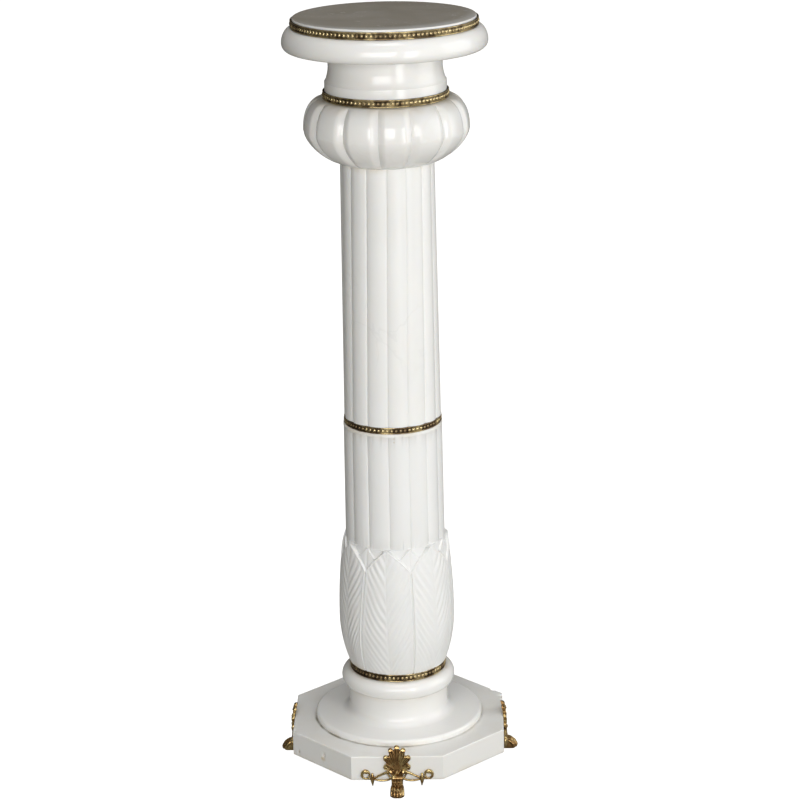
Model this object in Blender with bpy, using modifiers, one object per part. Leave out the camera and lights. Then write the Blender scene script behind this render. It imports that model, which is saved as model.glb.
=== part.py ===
"""A marble pedestal column: octagonal plinth on four gilt feet, turned socle, leaf calyx, two fluted
shafts, gadrooned cushion, neck and round top, with a gilt beaded band at each joint.

Metres, +Z up. The origin is on the floor under the column's axis, and the front is -Y."""

import math

import bmesh
import bpy
from mathutils import Matrix

# Driving dimensions: fits
joint_gap = 0.0003             # glue line between two pieces of marble, or marble and bronze
band_clearance = 0.0005        # round the inside of a beaded band

# Driving dimensions: plinth and socle
foot_lift = 0.0190             # floor to the underside of the plinth
plinth_width = 0.2904          # across the square's sides
plinth_corner_cut = 0.0866     # taken off each side where a corner is cut
plinth_height = 0.0344
plinth_easing = 0.0010
socle_height = 0.0728
socle_rim_radius = 0.1145
socle_rim_height = 0.0050
socle_rim_round = 0.0040
socle_waist_radius = 0.0662
socle_torus_radius = 0.0774
socle_torus_height = 0.0245
scotia_foot_radius = 0.0672    # where the upright part of the scotia ends
scotia_sweep = 0.0125          # radius of its turn into the flange
socle_flange_fall = 0.0006     # from the sweep out to the rim

# Driving dimensions: lower shaft with its calyx of leaves
leaf_count = 7
lower_shaft_height = 0.3528
calyx_foot_radius = 0.0660
calyx_belly_radius = 0.0781
calyx_tip_radius = 0.0706
calyx_belly_height = 0.0782    # above the underside of the lower shaft
leaf_shoulder_height = 0.1582
leaf_tip_height = 0.1912
leaf_groove_depth = 0.0025
leaf_midrib_height = 0.0008
leaf_roundness = 1.4           # 1 is a straight-sided tip, 2 a parabola
leaf_lip = 0.04                # width of a leaf's edge, as a share of half a leaf
back_leaf_drop = 0.0018        # how far the back row lies behind the front row
lower_shaft_foot_radius = 0.0674
lower_shaft_top_radius = 0.0662

# Driving dimensions: upper shaft
upper_shaft_height = 0.3541
upper_shaft_foot_radius = 0.0651
upper_shaft_top_radius = 0.0615

# Driving dimensions: flutes of both shafts
flute_count = 2 * leaf_count   # two over each leaf
flute_depth = 0.0025
flute_crown = 0.0012           # part of the depth that is the soft swell between two grooves
carving_turn = math.radians(-96.2)   # bearing of one groove, so that the front view meets it left of centre

# Driving dimensions: gadrooned cushion
cushion_height = 0.0827
cushion_radius = 0.1080
cushion_top_radius = 0.0835
cushion_foot_radius = 0.0600
cushion_belly_height = 0.0425
cushion_upper_fullness = 2.2   # 2 is an ellipse, 1 a straight slope
cushion_lower_fullness = 1.55
lobe_count = 14
lobe_depth = 0.0055
lobe_crown_share = 0.55        # of a lobe's width, across its flat middle

# Driving dimensions: neck and top
neck_height = 0.0624
neck_radius = 0.0740
neck_foot_radius = 0.0790
neck_foot_height = 0.0219
neck_flare_height = 0.0180
neck_flare_fullness = 1.5
slab_height = 0.0420
slab_radius = 0.1327
slab_underside_radius = 0.1240
slab_belly_height = 0.0096
slab_shoulder_radius = 0.1190
disc_radius = 0.1183
disc_rise = 0.0128
disc_arris = 0.0010

# Driving dimensions: beaded bands
band_thickness = 0.0029
band_proud = 0.0007            # beyond the shaft that it wraps
top_band_height = 0.0098
capital_band_height = 0.0100
shaft_band_height = 0.0086
calyx_band_height = 0.0105
seat_step = 0.0002             # how far a band's seat lies inside the bottom of the flutes

# Driving dimensions: feet, each a claw, a shell and two scrolled arms cast in one
paw_reach = 0.0205             # out from the plinth's face
paw_half_width = 0.0092
paw_height = 0.0160
leg_thickness = 0.0052
leg_half_width = 0.0080
leg_height = 0.0380
heel_depth = 0.0120            # under the plinth
shell_half_width = 0.0172
shell_base_height = 0.0262
shell_eye_height = 0.0410      # the middle that its outline runs round
shell_spread = math.radians(118)   # to each side of upright
shell_stand = 0.0160           # above the plinth's top
shell_thickness = 0.0047
shell_lobes = 7
shell_scallop = 0.07           # how far the edge draws in between two lobes, as a share of the reach
shell_lean = math.radians(14)
scroll_span = 0.0422           # from the foot's middle to the eye of the outer scroll
scroll_eye_height = 0.0282
scroll_radius = 0.0054
strand_radius = 0.0019
drop_span = 0.0334
drop_length = 0.0190
strand_root_height = 0.0335    # where the upper strand of an arm leaves the shell
strand_sag = 0.0100            # the lower strand under the scroll's eye
drop_tip_height = 0.0112

# Facets
turned_sides = 36
columns_per_flute = 5
ring_sides = 7

# Heights above the floor, each piece resting on the one below
plinth_z = foot_lift
socle_z = plinth_z + plinth_height + joint_gap
lower_shaft_z = socle_z + socle_height + joint_gap
upper_shaft_z = lower_shaft_z + lower_shaft_height + joint_gap
cushion_z = upper_shaft_z + upper_shaft_height + joint_gap
neck_z = cushion_z + cushion_height + joint_gap
slab_z = neck_z + neck_height + joint_gap

# Seats of the bands, cut into the foot of each shaft
calyx_seat_radius = calyx_foot_radius - leaf_groove_depth - seat_step
shaft_seat_radius = upper_shaft_foot_radius - flute_depth - seat_step
calyx_seat_height = calyx_band_height + joint_gap
shaft_seat_height = shaft_band_height + joint_gap


def clear_scene():
    for old in list(bpy.data.objects):
        bpy.data.objects.remove(old, do_unlink=True)


def new_collection(name, hidden=False):
    collection = bpy.data.collections.new(name)
    bpy.context.scene.collection.children.link(collection)
    collection.hide_render = hidden
    return collection


def finish(name, color, roughness, metallic=0.0):
    material = bpy.data.materials.new(name)
    material.use_nodes = True
    shader = material.node_tree.nodes["Principled BSDF"]
    shader.inputs["Base Color"].default_value = (*color, 1.0)
    shader.inputs["Roughness"].default_value = roughness
    shader.inputs["Metallic"].default_value = metallic
    return material


def add_object(name, data, collection, material=None):
    obj = bpy.data.objects.new(name, data)
    collection.objects.link(obj)
    if material:
        data.materials.append(material)
    return obj


def shade_round(mesh, sharp_angle=35):
    mesh.shade_smooth()
    mesh.set_sharp_from_angle(angle=math.radians(sharp_angle))


def mesh_from_bmesh(name, bm):
    mesh = bpy.data.meshes.new(name)
    bm.to_mesh(mesh)
    bm.free()
    return mesh


def arc(center, reach, start, end, steps, fullness=2.0):
    """Points (radius, height) of a superellipse arc; angles in degrees, 0 outward and 90 up."""
    points = []
    for step in range(steps + 1):
        angle = math.radians(start + (end - start) * step / steps)
        out, rise = math.cos(angle), math.sin(angle)
        out = math.copysign(abs(out) ** (2 / fullness), out)
        rise = math.copysign(abs(rise) ** (2 / fullness), rise)
        points.append((center[0] + reach[0] * out, center[1] + reach[1] * rise))
    return points


def turned(name, profile, z, collection, material):
    """A solid of revolution from (radius, height) points that run down the outer side."""
    bm = bmesh.new()
    verts = [bm.verts.new((radius, 0, height)) for radius, height in profile]
    for upper, lower in zip(verts, verts[1:]):
        bm.edges.new((upper, lower))
    obj = add_object(name, mesh_from_bmesh(name, bm), collection, material)
    obj.location.z = z
    screw = obj.modifiers.new("turn", "SCREW")
    screw.axis = "Z"
    screw.steps = screw.render_steps = turned_sides
    screw.use_merge_vertices = True
    screw.merge_threshold = 0.00005
    screw.use_smooth_shade = True
    return obj


def band(name, inner_radius, outer_radius, height, z, collection, material):
    """A flat strip bent round; its two fillets and beads show only close up."""
    profile = [(inner_radius, height), (outer_radius, height), (outer_radius, 0), (inner_radius, 0),
               (inner_radius, height)]
    return turned(name, profile, z, collection, material)


def loft(name, rings, z, collection, material):
    """Closed solid through rings of points from bottom to top, with a flat face at each end."""
    bm = bmesh.new()
    loops = [[bm.verts.new(point) for point in ring] for ring in rings]
    count = len(loops[0])
    for low, high in zip(loops, loops[1:]):
        for i in range(count):
            j = (i + 1) % count
            bm.faces.new((low[i], low[j], high[j], high[i]))
    bm.faces.new(list(reversed(loops[0])))
    bm.faces.new(loops[-1])
    mesh = mesh_from_bmesh(name, bm)
    shade_round(mesh)
    obj = add_object(name, mesh, collection, material)
    obj.location.z = z
    return obj


def flute_shares(edge):
    """Places across one flute from groove to groove, as shares of its width; edge is the groove's share."""
    middle = (1 - 2 * edge) / (columns_per_flute - 2)
    return [0.0] + [edge + middle * i for i in range(columns_per_flute - 1)]


def ring(radius_at, bearings, height):
    """Points at these bearings, with the radius that radius_at gives for each."""
    points = []
    for bearing in bearings:
        radius = radius_at(bearing)
        turn = bearing + carving_turn
        points.append((radius * math.cos(turn), radius * math.sin(turn), height))
    return points


def even_bearings(count, edge):
    pitch = 2 * math.pi / count
    return [(n + share) * pitch for n in range(count) for share in flute_shares(edge)]


def fluted_radius(crest):
    """Soft swells that meet in sharp grooves."""
    def radius_at(bearing):
        across = abs((bearing * flute_count / (2 * math.pi)) % 1 * 2 - 1)
        groove = (flute_depth - flute_crown) if across > 0.999 else 0.0
        return crest - flute_crown * across ** 2 - groove
    return radius_at


def build_plinth(collection, material):
    bm = bmesh.new()
    bmesh.ops.create_cube(bm, size=1)
    bmesh.ops.scale(bm, vec=(plinth_width, plinth_width, plinth_height), verts=bm.verts)
    corners = [edge for edge in bm.edges if abs(edge.verts[0].co.z - edge.verts[1].co.z) > plinth_height / 2]
    bmesh.ops.bevel(bm, geom=corners, offset=plinth_corner_cut, segments=1, affect="EDGES")
    bmesh.ops.rotate(bm, matrix=Matrix.Rotation(math.pi / 4, 3, "Z"), verts=bm.verts)
    mesh = mesh_from_bmesh("plinth", bm)
    obj = add_object("plinth", mesh, collection, material)
    obj.location.z = plinth_z + plinth_height / 2
    easing = obj.modifiers.new("easing", "BEVEL")
    easing.width = plinth_easing
    easing.segments = 1
    return obj


def plinth_face_distance():
    """From the axis to each cut corner's face, where a foot stands."""
    return plinth_width / math.sqrt(2) - plinth_corner_cut / math.sqrt(2)


def build_socle(collection, material):
    torus_middle = socle_height - socle_torus_height / 2
    torus_bulge = socle_torus_radius - socle_waist_radius
    rim_top = socle_rim_height + socle_rim_round
    flange_end = socle_rim_radius - socle_rim_round
    profile = [(0, socle_height)]
    profile += arc((socle_waist_radius, torus_middle), (torus_bulge, socle_torus_height / 2), 90, -90, 5)
    sweep_height = rim_top + socle_flange_fall + scotia_sweep
    profile += arc((scotia_foot_radius + scotia_sweep, sweep_height), (scotia_sweep, scotia_sweep), 180, 270, 4)
    profile.append((flange_end, rim_top))
    profile += arc((flange_end, socle_rim_height), (socle_rim_round, socle_rim_round), 90, 0, 2)[1:]
    profile += [(socle_rim_radius, 0), (0, 0)]
    return turned("base_socle", profile, socle_z, collection, material)


def calyx_radius(height):
    """The calyx swells from its foot to the belly and draws in again to the leaf tips."""
    if height < calyx_belly_height:
        share = (calyx_belly_height - height) / (calyx_belly_height - calyx_seat_height)
        return calyx_belly_radius - (calyx_belly_radius - calyx_foot_radius) * share ** 2
    share = (height - calyx_belly_height) / (leaf_tip_height - calyx_belly_height)
    return calyx_belly_radius - (calyx_belly_radius - calyx_tip_radius) * share ** 2


def leaf_ring(height):
    """One level of the calyx, as points in bearing order.

    Each half leaf has its columns on the midrib, both sides of the front leaf's edge, both sides of the
    back leaf's edge, and the groove between two leaves, so that the outlines stay crisp to the tips."""
    half = math.pi / leaf_count
    outer = calyx_radius(height)
    rise = max(0.0, (height - leaf_shoulder_height) / (leaf_tip_height - leaf_shoulder_height))
    if rise == 0:
        shares = [0.0, 0.10, 0.37, 0.63, 0.90, 1.0]
        levels = [outer + leaf_midrib_height, outer, outer, outer, outer, outer - leaf_groove_depth]
    else:
        front = max(2 * leaf_lip, 1 - rise ** leaf_roundness)
        back = max(leaf_lip, 1 - rise)
        shares = [0.0, front - leaf_lip, front + leaf_lip / 2]
        behind = max(lower_shaft_foot_radius, outer - back_leaf_drop)
        if 1 - back > front + leaf_lip:
            shares += [1 - back - leaf_lip / 2, 1 - back + leaf_lip / 2, 1.0]
            foot = lower_shaft_foot_radius - flute_crown
        else:
            shares += [shares[2] + (1 - shares[2]) * share for share in (1 / 3, 2 / 3, 1)]
            foot = behind
        levels = [outer + leaf_midrib_height / 2, outer, foot, foot, behind, behind]
    points = []
    for leaf in range(leaf_count):
        middle = leaf * 2 * half
        near = list(zip(shares, levels))
        far = [(2 - share, level) for share, level in reversed(near[1:-1])]
        for share, level in near + far:
            turn = middle + share * half + carving_turn
            points.append((level * math.cos(turn), level * math.sin(turn), height))
    return points


def build_lower_shaft(collection, material):
    bearings = even_bearings(flute_count, 0.10)
    rings = [
        ring(lambda bearing: calyx_seat_radius, bearings, 0),
        ring(lambda bearing: calyx_seat_radius, bearings, calyx_seat_height),
    ]
    belly_rise = calyx_belly_height - calyx_seat_height
    body = [calyx_seat_height + belly_rise * share for share in (0, 0.22, 0.55, 1)]
    body += [calyx_belly_height + (leaf_shoulder_height - calyx_belly_height) * share for share in (0.5, 1)]
    tips = [leaf_shoulder_height + (leaf_tip_height - leaf_shoulder_height) * share
            for share in (0.30, 0.62, 0.86, 1)]
    rings += [leaf_ring(height) for height in body + tips]
    rings += [
        ring(fluted_radius(lower_shaft_foot_radius), bearings, leaf_tip_height + joint_gap),
        ring(fluted_radius(lower_shaft_top_radius), bearings, lower_shaft_height),
    ]
    return loft("lower_shaft", rings, lower_shaft_z, collection, material)


def build_upper_shaft(collection, material):
    bearings = even_bearings(flute_count, 0.10)
    rings = [
        ring(lambda bearing: shaft_seat_radius, bearings, 0),
        ring(lambda bearing: shaft_seat_radius, bearings, shaft_seat_height),
        ring(fluted_radius(upper_shaft_foot_radius), bearings, shaft_seat_height),
        ring(fluted_radius(upper_shaft_top_radius), bearings, upper_shaft_height),
    ]
    return loft("upper_shaft", rings, upper_shaft_z, collection, material)


def build_cushion(collection, material):
    """Lobes that are flat across the middle, slope to the valleys and die out at both ends."""
    above = cushion_height - cushion_belly_height
    lower = arc((cushion_foot_radius, cushion_belly_height), (cushion_radius - cushion_foot_radius, cushion_belly_height),
                -90, 0, 4, cushion_lower_fullness)
    upper = arc((cushion_top_radius, cushion_belly_height), (cushion_radius - cushion_top_radius, above),
                0, 90, 4, cushion_upper_fullness)[1:]
    rings = []
    for radius, height in lower + upper:
        end_radius = cushion_top_radius if height > cushion_belly_height else cushion_foot_radius
        swell = (radius - end_radius) / (cushion_radius - end_radius)
        depth = lobe_depth * min(1.0, 1.6 * swell)

        def radius_at(bearing, radius=radius, depth=depth):
            across = abs((bearing * lobe_count / (2 * math.pi)) % 1 * 2 - 1)
            slope = max(0.0, across - lobe_crown_share) / (1 - lobe_crown_share)
            return radius - depth * slope ** 1.5

        rings.append(ring(radius_at, even_bearings(lobe_count, 0.09), height))
    return loft("gadrooned_cushion", rings, cushion_z, collection, material)


def build_neck(collection, material):
    flare_top = neck_foot_height + neck_flare_height
    profile = [(0, neck_height), (neck_radius, neck_height)]
    profile += arc((neck_foot_radius, flare_top), (neck_foot_radius - neck_radius, neck_flare_height),
                   180, 270, 3, neck_flare_fullness)
    profile += [(neck_foot_radius, 0), (0, 0)]
    return turned("neck", profile, neck_z, collection, material)


def build_top_slab(collection, material):
    ledge = slab_height - disc_rise
    shoulder_rise = ledge - slab_belly_height
    profile = [(0, slab_height), (disc_radius - disc_arris, slab_height), (disc_radius, slab_height - disc_arris),
               (disc_radius, ledge)]
    profile += arc((slab_shoulder_radius, slab_belly_height),
                   (slab_radius - slab_shoulder_radius, shoulder_rise), 86, 0, 4)
    profile += arc((slab_underside_radius, slab_belly_height),
                   (slab_radius - slab_underside_radius, slab_belly_height), 0, -90, 2)[1:]
    profile += [(0, 0)]
    return turned("top_slab", profile, slab_z, collection, material)


def build_bands(collection, material):
    disc_seat = disc_radius + band_clearance
    neck_seat = neck_foot_radius + band_clearance
    shaft_seat = shaft_seat_radius + band_clearance
    calyx_seat = calyx_seat_radius + band_clearance
    band("top_bead_band", disc_seat, disc_seat + band_thickness, top_band_height,
         slab_z + slab_height - disc_rise + joint_gap, collection, material)
    band("capital_bead_band", neck_seat, neck_seat + band_thickness, capital_band_height,
         neck_z, collection, material)
    band("shaft_bead_band", shaft_seat, upper_shaft_foot_radius + band_proud, shaft_band_height,
         upper_shaft_z, collection, material)
    band("calyx_bead_band", calyx_seat, calyx_foot_radius + band_proud / 4, calyx_band_height,
         lower_shaft_z, collection, material)


def tube(name, points, radius, collection, closed=False, tip=1.0):
    """A strand of the casting as a closed mesh, in the foot's own frame; tip is its end's share of the radius."""
    curve = bpy.data.curves.new(name, "CURVE")
    curve.dimensions = "3D"
    curve.bevel_depth = radius
    curve.twist_mode = "Z_UP"
    curve.bevel_resolution = 0
    curve.use_fill_caps = not closed
    spline = curve.splines.new("POLY")
    spline.points.add(len(points) - 1)
    for spot, point in zip(spline.points, points):
        spot.co = (*point, 1)
    spline.points[-1].radius = tip
    spline.use_cyclic_u = closed
    guide = add_object(name + "_guide", curve, collection)
    bpy.context.view_layer.update()
    mesh = bpy.data.meshes.new_from_object(guide.evaluated_get(bpy.context.evaluated_depsgraph_get()))
    place = guide.matrix_world.copy()
    bpy.data.objects.remove(guide, do_unlink=True)
    bm = bmesh.new()
    bm.from_mesh(mesh)
    bmesh.ops.remove_doubles(bm, verts=bm.verts, dist=0.00005)
    bmesh.ops.recalc_face_normals(bm, faces=bm.faces)
    bm.to_mesh(mesh)
    bm.free()
    obj = add_object(name, mesh, collection)
    obj.matrix_world = place
    return obj


def claw(collection):
    """The leg and paw: chamfered rectangles from the sole up, one over another."""
    rings = []
    levels = [
        (0.00, 0.95 * paw_reach, 0.90 * paw_half_width),
        (0.25, 1.00 * paw_reach, paw_half_width),
        (0.60, 0.86 * paw_reach, 0.97 * paw_half_width),
        (0.85, 0.58 * paw_reach, 0.90 * paw_half_width),
    ]
    sections = [(share * paw_height, front, half) for share, front, half in levels]
    sections.append((1.10 * paw_height, leg_thickness * 1.15, leg_half_width))
    sections.append((leg_height, leg_thickness * 0.85, leg_half_width))
    for height, front, half in sections:
        corner = min(half, front) * 0.35
        rings.append([
            (half, joint_gap, height), (half, front - corner, height), (half - corner, front, height),
            (corner - half, front, height), (-half, front - corner, height), (-half, joint_gap, height),
        ])
    return loft("claw", rings, 0, collection, None)


def heel(collection):
    bm = bmesh.new()
    bmesh.ops.create_cube(bm, size=1)
    top = foot_lift - joint_gap
    bmesh.ops.scale(bm, vec=(1.8 * leg_half_width, heel_depth + paw_reach / 3, top), verts=bm.verts)
    bmesh.ops.translate(bm, vec=(0, paw_reach / 6 - heel_depth / 2, top / 2), verts=bm.verts)
    return add_object("heel", mesh_from_bmesh("heel", bm), collection)


def shell(collection):
    """A fan with a scalloped edge; above the plinth's edge it leans inwards."""
    reach_up = foot_lift + plinth_height + shell_stand - shell_eye_height
    outline = [(-0.5 * shell_half_width, shell_base_height), (0.5 * shell_half_width, shell_base_height)]
    steps = 2 * shell_lobes
    for step in range(steps + 1):
        share = step / steps
        angle = shell_spread * (1 - 2 * share)
        scallop = 1 - shell_scallop * math.cos(math.pi * shell_lobes * share) ** 2
        outline.append((shell_half_width * math.sin(angle) * scallop,
                        shell_eye_height + reach_up * math.cos(angle) * scallop))
    bm = bmesh.new()
    back = [bm.verts.new((x, joint_gap, z)) for x, z in outline]
    front = [bm.verts.new((x, joint_gap + shell_thickness, z)) for x, z in outline]
    bm.faces.new(back)
    bm.faces.new(list(reversed(front)))
    for i in range(len(outline)):
        j = (i + 1) % len(outline)
        bm.faces.new((back[j], back[i], front[i], front[j]))
    plinth_top = foot_lift + plinth_height
    bmesh.ops.bisect_plane(bm, geom=bm.verts[:] + bm.edges[:] + bm.faces[:],
                           plane_co=(0, 0, plinth_top), plane_no=(0, 0, 1))
    for vert in bm.verts:
        vert.co.y -= max(0.0, vert.co.z - plinth_top) * math.tan(shell_lean)
    bmesh.ops.recalc_face_normals(bm, faces=bm.faces)
    return add_object("shell", mesh_from_bmesh("shell", bm), collection)


def arm(side, collection):
    """One scrolled arm: an outer ring, two strands that part and meet, and a hanging leaf tip."""
    name = "arm_right" if side > 0 else "arm_left"
    ring_depth, upper_depth, lower_depth, drop_depth = (
        joint_gap + strand_radius * share for share in (1.15, 1.28, 1.05, 1.42))
    around = [2 * math.pi * (n + 0.5) / ring_sides for n in range(ring_sides)]
    eye_ring = [(side * scroll_span + scroll_radius * math.cos(a), ring_depth,
                 scroll_eye_height + scroll_radius * math.sin(a)) for a in around]
    root = side * leg_half_width * 0.6
    under_ring = scroll_eye_height - scroll_radius
    middle = (root + side * drop_span) / 2
    upper = [(root, strand_root_height), (middle, strand_root_height - 0.0020),
             (side * (drop_span - 0.7 * strand_radius), under_ring + 0.2 * strand_radius),
             (side * scroll_span, under_ring - 0.1 * strand_radius)]
    lowest = scroll_eye_height - strand_sag + 0.8 * strand_radius
    lower = [(root, lowest + 0.0060), (middle * 0.9, lowest), (side * (drop_span + 0.6 * strand_radius), under_ring)]
    drop = [(side * drop_span, drop_tip_height + drop_length), (side * drop_span, drop_tip_height)]
    return [
        tube(name + "_ring", eye_ring, strand_radius, collection, closed=True),
        tube(name + "_upper", [(x, upper_depth, z) for x, z in upper], strand_radius, collection),
        tube(name + "_lower", [(x, lower_depth, z) for x, z in lower], 0.8 * strand_radius, collection),
        tube(name + "_drop", [(x, drop_depth, z) for x, z in drop], 1.2 * strand_radius, collection, tip=0.3),
    ]


def build_feet(collection, shapes, material):
    body = claw(shapes)
    for other in [heel(shapes), shell(shapes)] + arm(1, shapes) + arm(-1, shapes):
        union = body.modifiers.new(other.name, "BOOLEAN")
        union.operation = "UNION"
        union.solver = "MANIFOLD"
        union.object = other
    bpy.context.view_layer.update()
    casting = bpy.data.meshes.new_from_object(body.evaluated_get(bpy.context.evaluated_depsgraph_get()))
    for part in list(shapes.objects):
        bpy.data.objects.remove(part, do_unlink=True)
    bpy.data.collections.remove(shapes)
    casting.name = "foot"
    shade_round(casting)
    casting.materials.clear()
    casting.materials.append(material)
    distance = plinth_face_distance()
    for name, bearing in (("foot_front", -90), ("foot_right", 0), ("foot_back", 90), ("foot_left", 180)):
        turn = math.radians(bearing)
        foot = bpy.data.objects.new(name, casting)
        collection.objects.link(foot)
        foot.location = (distance * math.cos(turn), distance * math.sin(turn), 0)
        foot.rotation_euler.z = turn - math.pi / 2


def main():
    clear_scene()
    column = new_collection("pedestal_column")
    shapes = new_collection("foot_shapes", hidden=True)
    build_top_slab(column, finish("polished top marble", (0.80, 0.78, 0.74), 0.18))
    build_neck(column, finish("neck marble", (0.80, 0.79, 0.75), 0.22))
    build_cushion(column, finish("cushion marble", (0.82, 0.80, 0.77), 0.25))
    build_upper_shaft(column, finish("shaft marble", (0.82, 0.81, 0.79), 0.35))
    build_lower_shaft(column, finish("carved marble", (0.81, 0.81, 0.80), 0.45))
    build_socle(column, finish("socle marble", (0.80, 0.78, 0.73), 0.18))
    build_plinth(column, finish("plinth marble", (0.80, 0.79, 0.76), 0.35))
    build_bands(column, finish("beaded gilt bronze", (0.45, 0.31, 0.12), 0.35, 1.0))
    build_feet(column, shapes, finish("cast gilt bronze", (0.50, 0.34, 0.12), 0.32, 1.0))


main()
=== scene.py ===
import math

import bmesh
import bpy
import numpy as np
from mathutils import Matrix, Vector


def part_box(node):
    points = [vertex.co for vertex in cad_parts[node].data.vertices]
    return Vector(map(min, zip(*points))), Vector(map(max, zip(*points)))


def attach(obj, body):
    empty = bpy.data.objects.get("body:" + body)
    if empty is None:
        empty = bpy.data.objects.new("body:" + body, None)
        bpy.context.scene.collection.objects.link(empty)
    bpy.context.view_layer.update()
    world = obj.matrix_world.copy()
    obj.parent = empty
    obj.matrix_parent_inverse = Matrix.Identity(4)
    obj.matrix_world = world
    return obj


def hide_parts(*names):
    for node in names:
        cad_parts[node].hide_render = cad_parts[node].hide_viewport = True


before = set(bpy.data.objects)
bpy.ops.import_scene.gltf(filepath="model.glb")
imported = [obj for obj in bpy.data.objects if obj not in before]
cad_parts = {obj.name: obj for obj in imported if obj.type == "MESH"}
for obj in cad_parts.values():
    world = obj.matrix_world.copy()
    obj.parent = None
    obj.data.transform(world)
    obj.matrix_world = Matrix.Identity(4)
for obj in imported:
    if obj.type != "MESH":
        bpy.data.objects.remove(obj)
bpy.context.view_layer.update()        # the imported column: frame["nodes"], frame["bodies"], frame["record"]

# Marble pedestal column: finished marble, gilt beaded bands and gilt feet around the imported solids

scene = bpy.context.scene
print("column: frame loaded,", len(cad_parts), "nodes")


# Mesh helpers

def arcPoints(center, reach, start, end, steps, fullness=2.0):
    # (radius, height) along a superellipse, angles in degrees, 0 outward and 90 up
    angles = np.radians(np.linspace(start, end, steps + 1))
    out, rise = np.cos(angles), np.sin(angles)
    out = np.copysign(np.abs(out) ** (2 / fullness), out)
    rise = np.copysign(np.abs(rise) ** (2 / fullness), rise)
    return list(zip(center[0] + reach[0] * out, center[1] + reach[1] * rise))


def turnedGrid(profile, columns):
    # profile: (radius, height) from the underside to the top, along the outside
    radius, height = np.array(profile).T
    angle = np.linspace(0, 2 * math.pi, columns, endpoint=False)
    x = radius[:, None] * np.cos(angle)
    y = radius[:, None] * np.sin(angle)
    return np.stack([x, y, np.broadcast_to(height[:, None], x.shape)], -1)


def meshFromGrid(name, grid):
    # rows run upwards and columns anticlockwise seen from above, so the faces point out
    levels, columns = grid.shape[:2]
    index = np.arange(levels * columns).reshape(levels, columns)
    low, high = index[:-1], index[1:]
    quads = np.stack([low, np.roll(low, -1, 1), np.roll(high, -1, 1), high], -1).reshape(-1, 4)
    points = np.vstack([grid.reshape(-1, 3), grid[0].mean(0), grid[-1].mean(0)])
    under, over = len(points) - 2, len(points) - 1
    first, last = index[0], index[-1]
    fans = [(b, a, under) for a, b in zip(first, np.roll(first, -1))]
    fans += [(a, b, over) for a, b in zip(last, np.roll(last, -1))]
    mesh = bpy.data.meshes.new(name)
    mesh.from_pydata(points.tolist(), [], quads.tolist() + fans)
    return mesh


def smoothNoise(points, scale, seed, octaves=3):
    # a sum of sine waves in seeded directions, about -1 to 1
    random = np.random.default_rng(seed)
    total, weight = np.zeros(points.shape[:-1]), 0.0
    for octave in range(octaves):
        for wave in range(5):
            direction = random.normal(size=3)
            direction /= np.linalg.norm(direction)
            phase = random.uniform(0, 2 * math.pi)
            total += np.sin(points @ direction * 2 * math.pi / scale * 2 ** octave + phase) / 2 ** octave
            weight += 0.5 / 2 ** octave
    return total / weight


def storeHollow(mesh, gain, passes=2):
    # 0 on ridges, 0.5 on plain surface, 1 in hollows, for the finishes to read
    count = len(mesh.vertices)
    points = np.empty(count * 3); mesh.vertices.foreach_get("co", points)
    normals = np.empty(count * 3); mesh.vertices.foreach_get("normal", normals)
    points, normals = points.reshape(-1, 3), normals.reshape(-1, 3)
    edges = np.empty(len(mesh.edges) * 2, np.int64); mesh.edges.foreach_get("vertices", edges)
    a, b = edges.reshape(-1, 2).T
    degree = np.bincount(np.concatenate([a, b]), minlength=count).clip(1)
    pull = np.zeros((count, 3))
    length = np.linalg.norm(points[a] - points[b], axis=1).clip(1e-6)
    step = (points[b] - points[a]) / length[:, None]
    np.add.at(pull, a, step)
    np.add.at(pull, b, -step)
    cavity = np.einsum("ij,ij->i", pull, normals) / degree
    for turn in range(passes):
        spread = np.bincount(a, cavity[b], count) + np.bincount(b, cavity[a], count)
        cavity = 0.5 * cavity + 0.5 * spread / degree
    hollow = mesh.attributes.new("hollow", "FLOAT", "POINT")
    hollow.data.foreach_set("value", (0.5 + gain * cavity).clip(0, 1).astype(np.float32))


def newPiece(name, mesh, material, nodes, sharpAngle=38):
    mesh.shade_smooth()
    mesh.set_sharp_from_angle(angle=math.radians(sharpAngle))
    mesh.materials.clear()
    mesh.materials.append(material)
    piece = bpy.data.objects.new(name, mesh)
    scene.collection.objects.link(piece)
    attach(piece, "root")
    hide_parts(*nodes)
    return piece


def nodeRadius(name):
    low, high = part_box(name)
    return (high.x - low.x) / 2


# Shader helpers

def addNode(tree, kind, inputs=None, **settings):
    node = tree.nodes.new(kind)
    for key, value in settings.items():
        setattr(node, key, value)
    for key, value in (inputs or {}).items():
        if isinstance(value, bpy.types.NodeSocket):
            tree.links.new(value, node.inputs[key])
        else:
            node.inputs[key].default_value = value
    return node


def newGroup(name, inputs, outputs):
    group = bpy.data.node_groups.new(name, "ShaderNodeTree")
    for label, kind, value in inputs:
        socket = group.interface.new_socket(label, in_out="INPUT", socket_type=kind)
        if value is not None:
            socket.default_value = value
    for label, kind in outputs:
        group.interface.new_socket(label, in_out="OUTPUT", socket_type=kind)
    return group, group.nodes.new("NodeGroupInput"), group.nodes.new("NodeGroupOutput")


def mathNode(tree, operation, first, second=0.0, clamp=False):
    return addNode(tree, "ShaderNodeMath", {0: first, 1: second}, operation=operation, use_clamp=clamp).outputs[0]


def mixColors(tree, factor, first, second, blend="MIX"):
    node = addNode(tree, "ShaderNodeMix", {"Factor": factor, 6: first, 7: second}, data_type="RGBA", blend_type=blend)
    return node.outputs[2]


def rangeNode(tree, value, low, high, toLow=0.0, toHigh=1.0):
    return addNode(tree, "ShaderNodeMapRange", {0: value, 1: low, 2: high, 3: toLow, 4: toHigh},
                   interpolation_type="SMOOTHSTEP").outputs[0]


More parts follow.
